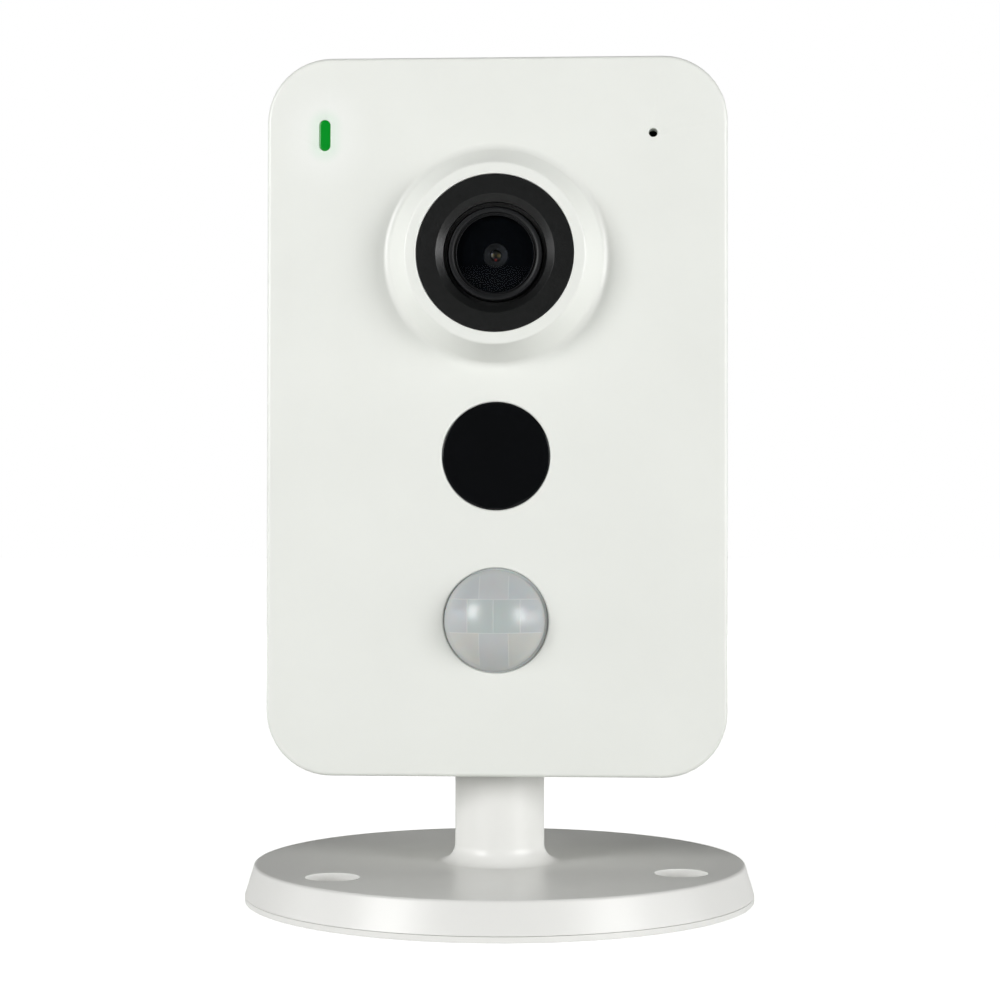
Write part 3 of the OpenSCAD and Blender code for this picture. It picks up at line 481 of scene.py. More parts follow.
def board_green(settings):
    """Glass-fibre board under green solder mask: the copper tracks show as slightly lighter lines."""
    made, node, shader, place = begin("green_circuit_board", {"IOR": 1.55})
    tracks = node("ShaderNodeTexBrick", {
        "Vector": place, "Color1": "#1C5236", "Color2": "#205B3C", "Mortar": "#2F7350", "Scale": 1.0,
        "Mortar Size": 0.12 * MM, "Brick Width": 3.1 * MM, "Row Height": 1.1 * MM})
    mask = node(NOISE, {"Vector": place, "Scale": 1 / (0.9 * MM), "Detail": 2.0})
    dress(shader, tracks, node(RANGE, (mask, 0.3, 0.7, 0.32, 0.45)), mask, 0.01)
    return made


def copper_coil(settings):
    """Enamelled copper wire, wound in turns: ridges with a reddish gloss."""
    made, node, shader, place = begin("enamelled_copper_wire", {"Metallic": 1.0})
    # Real turns are 0.2 mm apart and too fine to show. These are 2 pi times coarser.
    turns = node("ShaderNodeTexWave", {"Vector": place, "Scale": 1 / (0.2 * MM) / 20, "Distortion": 0.4},
                 bands_direction="Z")
    shade = node(MIX, {0: turns, 6: "#8A4A2A", 7: "#C27A4E"}, data_type="RGBA")
    dress(shader, shade, node(RANGE, (turns, 0.0, 1.0, 0.25, 0.4)), turns, 0.05)
    return made


def clear_epoxy(settings):
    """Water-clear epoxy of a lamp's moulded lens, with a trace of haze."""
    made, node, shader, place = begin("clear_epoxy", {"IOR": 1.53, "Transmission Weight": 0.85})
    haze = node(NOISE, {"Vector": place, "Scale": 1 / (1.2 * MM), "Detail": 2.0})
    tint = node(MIX, {0: haze, 6: "#DDE4E8", 7: "#E8EDF0"}, data_type="RGBA")
    feed(shader, {"Base Color": tint, "Roughness": node(RANGE, (haze, 0.0, 1.0, 0.05, 0.14))})
    return made


# Finishes that differ only in shades, sizes and shine, as grained() takes them. Each comment says what the
# finish gives the eye.
GRAINED = {
    # Dead black paint inside the barrel: it swallows nearly all light
    "dead_black_paint": (("#040506", "#060708"), 1.5, 0.2, 0.004, (0.8, 0.95), {"IOR": 1.12}),
    # Glass-filled nylon: dull black with a mottled skin
    "black_nylon": (("#161718", "#1E1F20"), 2.0, 0.3, 0.006, (0.42, 0.55), {"IOR": 1.53}),
    # Grey ABS: even and satin
    "grey_abs": (("#8E9294", "#989C9E"), 6.0, 0.35, 0.004, (0.36, 0.44), {"IOR": 1.53}),
    # Chip moulding compound: flat dark grey
    "chip_epoxy": (("#222426", "#2A2C2E"), 1.5, 0.2, 0.004, (0.5, 0.6), {"IOR": 1.55}),
    # Blackened brass of the iris: near black, faintly warm
    "blackened_brass": (("#0F0D08", "#13110A"), 1.0, 0.2, 0.002, (0.5, 0.6), {"IOR": 1.3}),
    # Rubber: soft black with a matt bloom
    "black_rubber": (("#1B1C1D", "#262728"), 3.0, 0.25, 0.01, (0.62, 0.78), {"IOR": 1.52}),
    # Zinc-plated steel: bright, faintly clouded
    "zinc_plated_steel": (("#B4B7BA", "#C4C7C9"), 2.5, 0.3, 0.003, (0.24, 0.38), {"Metallic": 1.0}),
    # Tinned sheet steel: paler and softer than zinc
    "tinned_steel": (("#C3C5C6", "#CFD0D0"), 4.0, 0.5, 0.003, (0.28, 0.36), {"Metallic": 1.0}),
    # Bead-blasted aluminium: even silver grey
    "blasted_aluminium": (("#BFC1C3", "#C9CBCC"), 3.0, 0.2, 0.006, (0.42, 0.5), {"Metallic": 1.0}),
    # Gold plate over nickel: warm and smooth
    "gold_plate": (("#D9B15A", "#E2BD6A"), 1.5, 0.2, 0.001, (0.2, 0.28), {"Metallic": 1.0}),
    # Ferrite: dark grey, dry and slightly rough
    "ferrite": (("#3A3B3D", "#444547"), 2.0, 0.25, 0.008, (0.5, 0.65), {"IOR": 1.6}),
    # Pressed paper of a loudspeaker cone: soft, with fibres
    "paper_cone": (("#3B3A38", "#4A4946"), 1.2, 0.35, 0.03, (0.8, 0.92), {"IOR": 1.4}),
    # Fibre washer: dry brown grey
    "fibre_washer": (("#4A4744", "#57534F"), 1.0, 0.2, 0.01, (0.7, 0.82), {"IOR": 1.45}),
}

MAKERS = {maker.__name__: maker for maker in (
    white_stand, white_textured, white_panel, trim_black, barrel_black, coated_glass, pupil_glass,
    infrared_black, milky, light_green, board_green, copper_coil, clear_epoxy)}
MADE = {}


def finish(name):
    """The material of that name, made once."""
    if name not in MADE and name in GRAINED:
        MADE[name] = grained(name, *GRAINED[name])
    elif name not in MADE:
        MADE[name] = MAKERS[name](bpy.context.scene.security_camera)
    return MADE[name]


# ---- Outlines ----

def arc(radius, steps, start, end):
    """Offsets along an arc: radius times the cosine and sine of each angle. Angles are in degrees."""
    turns = [math.radians(start + (end - start) * i / steps) for i in range(steps + 1)]
    return [(radius * math.cos(a), radius * math.sin(a)) for a in turns]


def circle(radius, count, x=0.0, z=0.0):
    """Points of a circle, as pairs across and up."""
    turns = [2 * math.pi * i / count for i in range(count)]
    return [(x + radius * math.cos(a), z + radius * math.sin(a)) for a in turns]


def head_outline(head, inset):
    """Rounded outline of the head, drawn in by inset."""
    half, low, high = HEAD_W / 2 - inset, HEAD_Z + inset, HEAD_Z + HEAD_H - inset
    r = max(head.corner - inset, 0.2 * MM)
    corners = ((half - r, low + r, -90), (half - r, high - r, 0), (r - half, high - r, 90),
               (r - half, low + r, 180))
    return [(x + c, z + s) for x, z, start in corners for c, s in arc(r, 12, start, start + 90)]


def at_depth(points, y):
    """Stands an outline across the Y axis at depth y."""
    return [Vector((x, y, z)) for x, z in points]


def at_height(points, z):
    """Lays an outline flat at height z."""
    return [Vector((x, y, z)) for x, y in points]


def upright(rings, x, z, count=ROUND):
    """Circles round x and z that stand across the Y axis, one for each radius and depth."""
    return [at_depth(circle(r, count, x, z), y) for r, y in rings]


def lying(rings, x=0.0, y=0.0, count=FINE):
    """Circles round x and y that lie flat, one for each radius and height."""
    return [at_height(circle(r, count, x, y), z) for r, z in rings]


def light_slots(rings):
    """Upright slots with round ends. rings holds how much wider than the light each is, and its depth."""
    loops = []
    for wider, y in rings:
        r, straight = LIGHT_W / 2 + wider, (LIGHT_H - LIGHT_W) / 2
        points = [(LIGHT.x + c, LIGHT.z + side * straight + s) for side, start in ((1, 0), (-1, 180))
                  for c, s in arc(r, 16, start, start + 180)]
        loops.append(at_depth(points, y))
    return loops


# ---- Mesh tools ----

def skin(bm, loops, closed=False):
    """Joins loops of equal length with faces. Returns their vertices. closed joins the last to the first."""
    rows = [[bm.verts.new(p) for p in loop] for loop in loops]
    pairs = list(zip(rows, rows[1:])) + ([(rows[-1], rows[0])] if closed else [])
    for a, b in pairs:
        for i in range(len(a)):
            j = (i + 1) % len(a)
            bm.faces.new((a[i], a[j], b[j], b[i]))
    return rows


def fill(bm, *loops):
    """Fills a flat region. The first loop of vertices bounds it and the others are holes in it."""
    edges = []
    for loop in loops:
        for v, w in zip(loop, loop[1:] + loop[:1]):
            edges.append(bm.edges.get((v, w)) or bm.edges.new((v, w)))
    bmesh.ops.triangle_fill(bm, use_beauty=True, use_dissolve=False, edges=edges)


def tip(bm, loop, point):
    """Closes a loop of vertices with triangles that meet in a point."""
    end = bm.verts.new(point)
    for v, w in zip(loop, loop[1:] + loop[:1]):
        bm.faces.new((v, w, end))


def closed_form(loops):
    """A mesh of joined loops, with its first and last loop filled."""
    bm = bmesh.new()
    rows = skin(bm, loops)
    fill(bm, rows[0])
    fill(bm, rows[-1])
    return bm


def ring_form(loops):
    """A mesh of joined loops, the last joined to the first."""
    bm = bmesh.new()
    skin(bm, loops, closed=True)
    return bm


def link(name, data):
    """Puts a new object in the scene."""
    obj = bpy.data.objects.new(name, data)
    bpy.context.scene.collection.objects.link(obj)
    return obj


def link_mesh(name, bm):
    """Puts a new object in the scene, with the mesh that bm holds."""
    mesh = bpy.data.meshes.new(name)
    bm.to_mesh(mesh)
    bm.free()
    return link(name, mesh)


def copy_of(node):
    """A CAD node's mesh with its loose triangles merged."""
    bm = bmesh.new()
    bm.from_mesh(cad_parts[node].data)
    bmesh.ops.remove_doubles(bm, verts=bm.verts, dist=MERGE)
    return bm


def plain(obj):
    """Turns an object and its modifiers into one plain mesh."""
    graph = bpy.context.evaluated_depsgraph_get()
    mesh = bpy.data.meshes.new_from_object(obj.evaluated_get(graph))
    old = obj.data
    obj.modifiers.clear()
    obj.data = mesh
    bpy.data.meshes.remove(old)


def settle(obj, material, body, slot_name, *replaced, sharp=32.0):
    """Shades a finished mesh, gives it its finish and hands it to its body in place of CAD nodes."""
    for face in obj.data.polygons:
        face.use_smooth = True
    obj.data.set_sharp_from_angle(angle=math.radians(sharp))
    weighted = obj.modifiers.new("Flat faces first", "WEIGHTED_NORMAL")
    weighted.keep_sharp = True
    weighted.weight = 100
    obj.data.materials.clear()
    obj.data.materials.append(finish(material))
    plain(obj)
    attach(obj, body)
    if replaced:
        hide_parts(*replaced)
    return obj


def build(name, bm, material, body, slot_name, *replaced, sharp=32.0):
    """Makes a piece of a mesh, with its faces pointing outwards."""
    bmesh.ops.remove_doubles(bm, verts=bm.verts, dist=1e-7)
    bmesh.ops.recalc_face_normals(bm, faces=bm.faces)
    return settle(link_mesh(name, bm), material, body, slot_name, *replaced, sharp=sharp)


def groups_of(edges):
    """Sorts edges into connected groups. Returns the ends of each group's edges, once for each edge."""
    left, groups = dict.fromkeys(edges), []
    while left:
        first = next(iter(left))
        del left[first]
        stack, ends = [first], []
        while stack:
            for v in stack.pop().verts:
                ends.append(v)
                for edge in v.link_edges:
                    if edge in left:
                        del left[edge]
                        stack.append(edge)
        groups.append(ends)
    return groups


def opening_heights(bm):
    """Middle height of each opening in the flat back and sides of a mesh."""
    heights = []
    for axis, edge_of in ((0, min), (0, max), (1, max)):
        wall = edge_of(v.co[axis] for v in bm.verts)
        rim = [e for e in bm.edges if all(abs(v.co[axis] - wall) < 0.002 * MM for v in e.verts)
               and e.calc_face_angle(0.0) > CREASE]
        for ends in groups_of(rim):
            closed = len(ends) == 2 * len(set(ends))
            z = (min(v.co.z for v in ends) + max(v.co.z for v in ends)) / 2
            if closed and all(abs(z - other) > 0.05 * MM for other in heights):
                heights.append(z)
    return heights


def soften(node, name, material, body, slot_name, width, segments=2):
    """Copies a CAD node and rounds its outward edges. Inside corners stay sharp. width is in millimetres."""
    bm = copy_of(node)
    # A cut through the middle of each opening leaves flat faces without holes, which the bevel keeps flat
    for z in opening_heights(bm):
        cut = bmesh.ops.bisect_plane(bm, geom=bm.verts[:] + bm.edges[:] + bm.faces[:], dist=MERGE,
                                     plane_co=(0.0, 0.0, z), plane_no=(0.0, 0.0, 1.0))["geom_cut"]
        for item in cut:
            if isinstance(item, bmesh.types.BMEdge):
                item.seam = True
    bmesh.ops.dissolve_limit(bm, angle_limit=math.radians(0.6), verts=bm.verts, edges=bm.edges,
                             delimit={"SEAM"})
    rounded_edges = bm.edges.layers.float.new("bevel_weight_edge")
    for edge in bm.edges:
        edge[rounded_edges] = float(edge.calc_face_angle_signed(0.0) > CREASE)
    obj = link_mesh(name, bm)
    bevel = obj.modifiers.new("Soft edges", "BEVEL")
    bevel.width = width * MM
    bevel.segments = segments
    bevel.limit_method = "WEIGHT"
    bevel.use_clamp_overlap = False
    bevel.miter_outer = "MITER_ARC"
    plain(obj)
    return settle(obj, material, body, slot_name, node)


def screw_places(node, up):
    """Places of the separate screws in a CAD node, across and along the axis that up numbers."""
    bm = copy_of(node)
    places = []
    for ends in groups_of(bm.edges):
        spot = Vector([(min(v.co[i] for v in ends) + max(v.co[i] for v in ends)) / 2 for i in (0, up)])
        if all((spot - other).length > 1 * MM for other in places):
            places.append(spot)
    bm.free()
    return sorted(tuple(spot) for spot in places)


# ---- Geometry trees ----

def begin_tree(name, *sockets):
    """Starts a geometry tree with named inputs. Returns it, a function that adds nodes, and its inputs."""
    tree = bpy.data.node_groups.new(name, "GeometryNodeTree")
    for way in ("OUTPUT", "INPUT"):
        tree.interface.new_socket("Geometry", in_out=way, socket_type="NodeSocketGeometry")
    for label, kind, default in sockets:
        made = tree.interface.new_socket(label, in_out="INPUT", socket_type="NodeSocket" + kind)
        if default is not None:
            made.default_value = default
    return tree, partial(add, tree), tree.nodes.new("NodeGroupInput").outputs


def end_tree(node, given, points, piece, **more):
    """Ends a geometry tree: the piece on each point, as a real mesh of the given material."""
    copies = node("GeometryNodeInstanceOnPoints", {"Points": points, "Instance": piece, **more})
    real = node("GeometryNodeRealizeInstances", (copies,))
    dressed = node("GeometryNodeSetMaterial", {"Geometry": real, "Material": given["Material"]})
    node("NodeGroupOutput", (dressed,))


def grow(name, points, tree, material, body, slot_name, node, values):
    """Makes a piece that a geometry tree builds on points. values sets the tree's inputs by name."""
    mesh = bpy.data.meshes.new(name)
    mesh.from_pydata(points, [], [])
    obj = link(name, mesh)
    nodes = obj.modifiers.new(tree.name, "NODES")
    nodes.node_group = tree
    values = {**values, "Material": finish(material)}
    for item in tree.interface.items_tree:
        if item.item_type == "SOCKET" and item.in_out == "INPUT" and item.name in values:
            nodes[item.identifier] = values[item.name]
    plain(obj)
    return settle(obj, material, body, slot_name, node)


def screw_tree():
    """A geometry tree that puts a cross-recessed screw on each point. The head's top is at the point."""
    tree, node, given = begin_tree(
        "cross_screws", ("Head Radius", "Float", 2.4 * MM), ("Head Thickness", "Float", 1.8 * MM),
        ("Shank Radius", "Float", 1.3 * MM), ("Length", "Float", 11 * MM), ("Dome", "Float", 0.3 * MM),
        ("Recess Width", "Float", 0.6 * MM), ("Recess Share", "Float", 0.6),
        ("Turn", "Vector", (0.0, 0.0, 0.0)), ("Material", "Material", None))
    thick = given["Head Thickness"]
    # Head: a disc whose top is drawn down towards its rim
    disc = node("GeometryNodeMeshCylinder", {"Vertices": 40, "Side Segments": 1, "Fill Segments": 6,
                                             "Radius": given["Head Radius"], "Depth": thick})
    parts = node(SEPARATE, (node("GeometryNodeInputPosition"),)).outputs
    out = node(VECTOR, (node(COMBINE, (parts["X"], parts["Y"])),), operation="LENGTH")
    share = node(MATH, (out, given["Head Radius"]), operation="DIVIDE")
    curve = node(MATH, (share, 2.6), operation="POWER")
    fall = node(MATH, (curve, given["Dome"]), operation="MULTIPLY")
    fall = node(MATH, (fall, -1.0), operation="MULTIPLY")
    upper = node(MATH, (parts["Z"], 0.0), operation="GREATER_THAN")
    domed = node("GeometryNodeSetPosition", {"Geometry": disc, "Selection": upper,
                                             "Offset": node(COMBINE, {2: fall})})
    drop = node(MATH, (thick, -0.5), operation="MULTIPLY")
    head = node("GeometryNodeTransform", {"Geometry": domed, "Translation": node(COMBINE, {2: drop})})
    # Cross recess: two crossed blades, sunk to two thirds of the head
    reach = node(MATH, (given["Head Radius"], given["Recess Share"]), operation="MULTIPLY")
    reach = node(MATH, (reach, 2.0), operation="MULTIPLY")
    deep = node(MATH, (thick, 1.3), operation="MULTIPLY")
    wide = given["Recess Width"]
    blades = [node("GeometryNodeMeshCube", {"Size": node(COMBINE, size)}) for size in (
        (reach, wide, deep), (wide, reach, deep))]
    cut = node("GeometryNodeMeshBoolean", {"Mesh 1": head, "Mesh 2": blades[0]}, operation="DIFFERENCE",
               solver="EXACT")
    feed(cut, {"Mesh 2": blades[1]})
    # Shank: from under the head to the tip
    shank_l = node(MATH, (given["Length"], thick), operation="SUBTRACT")
    half = node(MATH, (shank_l, -0.5), operation="MULTIPLY")
    low = node(MATH, (half, thick), operation="SUBTRACT")
    shank = node("GeometryNodeMeshCylinder", {"Vertices": 24, "Radius": given["Shank Radius"],
                                              "Depth": shank_l})
    shank = node("GeometryNodeTransform", {"Geometry": shank, "Translation": node(COMBINE, {2: low})})
    whole = node("GeometryNodeJoinGeometry", (shank,))
    feed(whole, (cut,))
    turn = node("FunctionNodeEulerToRotation", (given["Turn"],))
    end_tree(node, given, given["Geometry"], whole, Rotation=turn)
    return tree


def contact_tree():
    """A geometry tree that sets a row of sprung wires, the first of them at the point."""
    tree, node, given = begin_tree(
        "sprung_contacts", ("Count", "Int", 8), ("Pitch", "Float", 1.02 * MM), ("Radius", "Float", 0.2 * MM),
        ("Length", "Float", 8 * MM), ("Sag", "Float", 1 * MM), ("Material", "Material", None))
    back = node(MATH, (given["Length"], -1.0), operation="MULTIPLY")
    sag = node(MATH, (given["Sag"], -1.0), operation="MULTIPLY")
    bend = node(MATH, (back, 0.55), operation="MULTIPLY")
    lower = node(MATH, (sag, 0.1), operation="MULTIPLY")
    wire = node("GeometryNodeCurvePrimitiveBezierSegment", {
        "Resolution": 12, "Start": (0.0, 0.0, 0.0), "Start Handle": (0.0, -1.0 * MM, 0.0),
        "End Handle": node(COMBINE, {1: bend, 2: lower}), "End": node(COMBINE, {1: back, 2: sag})})
    section = node("GeometryNodeCurvePrimitiveCircle", {"Resolution": 10, "Radius": given["Radius"]})
    rod = node("GeometryNodeCurveToMesh", {"Curve": wire, "Profile Curve": section, "Fill Caps": True})
    line = node("GeometryNodeMeshLine", {"Count": given["Count"], "Offset": node(COMBINE, (given["Pitch"],))})
    moved = node("GeometryNodeSampleIndex", {"Geometry": given["Geometry"],
                                             "Value": node("GeometryNodeInputPosition"), "Index": 0},
                 data_type="FLOAT_VECTOR")
    row = node("GeometryNodeSetPosition", {"Geometry": line, "Offset": moved})
    end_tree(node, given, row, rod)
    return tree


# ---- Operators ----

class MakeStage(bpy.types.Operator):
    """Sets up the floor, the room, the softboxes and the camera"""
    bl_idname = "security_camera.stage"
    bl_label = "Stage"

    def execute(self, context):
        stage = context.scene.security_camera.stage
        self.floor(stage)
        self.room(context.scene, stage)
        self.softboxes(stage)
        self.camera(context.scene, stage)
        context.scene.view_settings.view_transform = "Standard"
        return {"FINISHED"}

    def seen(self, node, path):
        """1 where the camera sees the background, also through glass, and 0 where it lights a piece."""
        bounces = node(MATH, (path["Diffuse Depth"], path["Glossy Depth"]), operation="ADD")
        direct = node(MATH, (bounces, 0.5), operation="LESS_THAN")
        through = node(MATH, (path["Is Transmission Ray"], direct), operation="MULTIPLY")
        return node(MATH, (path["Is Camera Ray"], through), operation="MAXIMUM")

    def floor(self, stage):
        """A wide pale floor. The camera, gloss and glass see it white, and it keeps the object's shadow."""
        near_r, far_r, top = 0.3, 4.0, -0.05 * MM
        bm = bmesh.new()
        rows = skin(bm, lying(((near_r, top), (far_r, top)), count=64))
        fill(bm, rows[0])
        floor = link_mesh("floor", bm)
        made, node, shader, place = begin("pale_paper_floor", {
            "Roughness": 0.95, "Specular IOR Level": 0.1, "Emission Color": "#FFFFFF"})
        fibres = node(NOISE, {"Vector": place, "Scale": 1 / (3 * MM), "Detail": 3.0})
        shade = node(MIX, {0: fibres, 6: stage.floor, 7: "#F6F6F4"}, data_type="RGBA")
        path = node("ShaderNodeLightPath").outputs
        gloss = node(MATH, (path["Is Glossy Ray"], stage.mirrored), operation="MULTIPLY")
        both = node(MATH, (self.seen(node, path), gloss), operation="MAXIMUM")
        # Further out, where the lamps' light fades, the floor makes up for it
        away = node(VECTOR, (place,), operation="LENGTH")
        own = node(RANGE, (away, 0.1, 0.8, 0.72, 1.0))
        share = node(MATH, (both, own), operation="MULTIPLY")
        feed(shader, {"Base Color": shade, "Emission Strength": share})
        floor.data.materials.append(made)

    def room(self, scene, stage):
        """Plain room light, with a background that the camera sees white."""
        world = bpy.data.worlds.new("studio")
        world.use_nodes = True
        node = partial(add, world.node_tree)
        path = node("ShaderNodeLightPath").outputs
        strength = node(MIX, {0: path["Is Glossy Ray"], 2: stage.room, 3: stage.mirrored})
        strength = node(MIX, {0: self.seen(node, path), 2: strength, 3: 1.0})
        feed(world.node_tree.nodes["Background"], {"Color": "#FFFFFF", "Strength": strength})
        scene.world = world

    def softboxes(self, stage):
        """Soft lamps round the object, which the camera doesn't see."""
        aim = Vector((0.0, 0.0, 0.065))
        for name, (bearing, lift, wide, tall, power) in SOFTBOXES.items():
            lamp = bpy.data.lights.new(name, "AREA")
            lamp.shape = "RECTANGLE"
            lamp.size = wide
            lamp.size_y = tall
            lamp.energy = getattr(stage, power)
            holder = link(name, lamp)
            a, e = math.radians(bearing), math.radians(lift)
            back = Vector((math.sin(a) * math.cos(e), -math.cos(a) * math.cos(e), math.sin(e)))
            holder.location = aim + back * stage.lamp_distance
            holder.rotation_euler = (-back).to_track_quat("-Z", "Y").to_euler()
            holder.visible_camera = False
            holder.visible_glossy = "rear" not in name

    def camera(self, scene, stage):
        """The camera, ahead of the object and a little to its right."""
        eye = bpy.data.cameras.new("camera")
        eye.lens = stage.lens
        eye.sensor_width = 36.0
        eye.clip_start = 0.01
        eye.clip_end = 20.0
        camera = link("camera", eye)
        camera.location = (stage.aside, -stage.distance, stage.height)
        aim = Euler((math.pi / 2 + stage.rise, 0.0, stage.turn)).to_matrix()
        camera.rotation_euler = (aim @ Euler((0.0, 0.0, stage.roll)).to_matrix()).to_euler()
        scene.camera = camera


class MakeFrontPanel(bpy.types.Operator):
    """Moulds the front panel with its bezel and openings"""
    bl_idname = "security_camera.front_panel"
    bl_label = "Front panel"

    def execute(self, context):
        head = context.scene.security_camera.head
        bm = bmesh.new()
        seam, edge = head.seam, head.edge
        rings = [(seam, SPLIT_Y)]
        rings += [(seam - c, SPLIT_Y - seam + s) for c, s in arc(seam, 3, 90, 0)[1:]]
        rings += [(edge - c, FACE_Y + edge - s) for c, s in arc(edge, 6, 0, 90)]
        rim = skin(bm, [at_depth(head_outline(head, inset), y) for inset, y in rings])
        light_rings = [(wider * MM, FACE_Y + deep * MM) for wider, deep in LIGHT_HOLE]
        mic_rings = [(r * MM, FACE_Y + deep * MM) for r, deep in MIC_HOLE]
        openings = [skin(bm, loops) for loops in (
            self.bezel(head),
            self.round_hole(head, IR_R + 0.03 * MM, IR),
            self.round_hole(head, PIR_R + 0.04 * MM, PIR),
            light_slots(light_rings + [(light_rings[-1][0], SPLIT_Y)]),
            upright(mic_rings + [(mic_rings[-1][0], SPLIT_Y)], MIC.x, MIC.z, SMALL))]
        fill(bm, rim[-1], *[rows[0] for rows in openings])
        fill(bm, rim[0], *[rows[-1] for rows in openings])
        self.lip(bm, head)
        self.posts(bm)
        build("front_shell", bm, "white_panel", "head", "white_plastic", "front_panel")
        return {"FINISHED"}

    def bezel(self, head):
        """Rings of the lens bezel: a hollow sweep off the face, a slope, a rounded lip and the bore."""
        slope = math.atan2(FACE_Y - LIP_Y, head.bezel_foot - head.bezel_lip)
        sweep, r = head.bezel_sweep, head.bezel_round
        foot = head.bezel_foot + sweep * math.tan(slope / 2)
        lip = head.bezel_lip - r * math.tan(slope / 2)
        turns = [slope * i / 8 for i in range(9)]
        rings = [(foot - sweep * math.sin(a), FACE_Y - sweep * (1 - math.cos(a))) for a in turns]
        rings += [(lip + r * math.sin(a), LIP_Y + r * (1 - math.cos(a))) for a in reversed(turns)]
        # The bore leaves 0.06 mm round the trim ring, and its edge is rounded
        bore, e = radius_of("lens_trim_ring") + 0.06 * MM, 0.12 * MM
        rings += [(bore + e - c, LIP_Y + e - s) for c, s in arc(e, 3, 90, 0)]
        return upright(rings + [(bore, SPLIT_Y)], LENS.x, LENS.z, FINE)

    def round_hole(self, head, r, centre):
        """Rings of a round window's opening, with its rounded edge."""
        e = head.hole_edge
        rings = [(r + e - s, FACE_Y + e - c) for c, s in arc(e, 5, 0, 90)]
        return upright(rings + [(r, SPLIT_Y)], centre.x, centre.z)

    def lip(self, bm, head):
        """The lip behind the panel that fits into the rear housing, open where the neck swings."""
        gap, thick, deep, open_x = 2.1 * MM, 1.2 * MM, 2.2 * MM, 9.1 * MM
        front, back = SPLIT_Y - 0.3 * MM, SPLIT_Y + deep
        walls = []
        for inset in (gap, gap + thick):
            foot = HEAD_Z + inset
            walls.append([(open_x, foot)] + head_outline(head, inset) + [(-open_x, foot)])
        rows = skin(bm, [[(a, front, b), (a, back, b), (c, back, d), (c, front, d)]
                         for (a, b), (c, d) in zip(*walls)])
        bm.faces.new(rows[0])
        bm.faces.new(rows[-1])

    def posts(self, bm):
        """The four posts that the case screws bite into."""
        post_r, bore_r = 2.8 * MM, 1.36 * MM
        front, back = SPLIT_Y - 0.3 * MM, PANEL_HIGH.y
        for x, z in screw_places("case_screws", 2):
            rings = ((post_r, front), (post_r, back), (bore_r, back), (bore_r, front))
            skin(bm, upright(rings, x, z, SMALL), closed=True)


class MakeRearHousing(bpy.types.Operator):
    """Softens the edges of the rear housing and its openings"""
    bl_idname = "security_camera.rear_housing"
    bl_label = "Rear housing"

    def execute(self, context):
        soften("rear_housing", "rear_shell", "white_textured", "head", "white_plastic", 0.18)
        return {"FINISHED"}


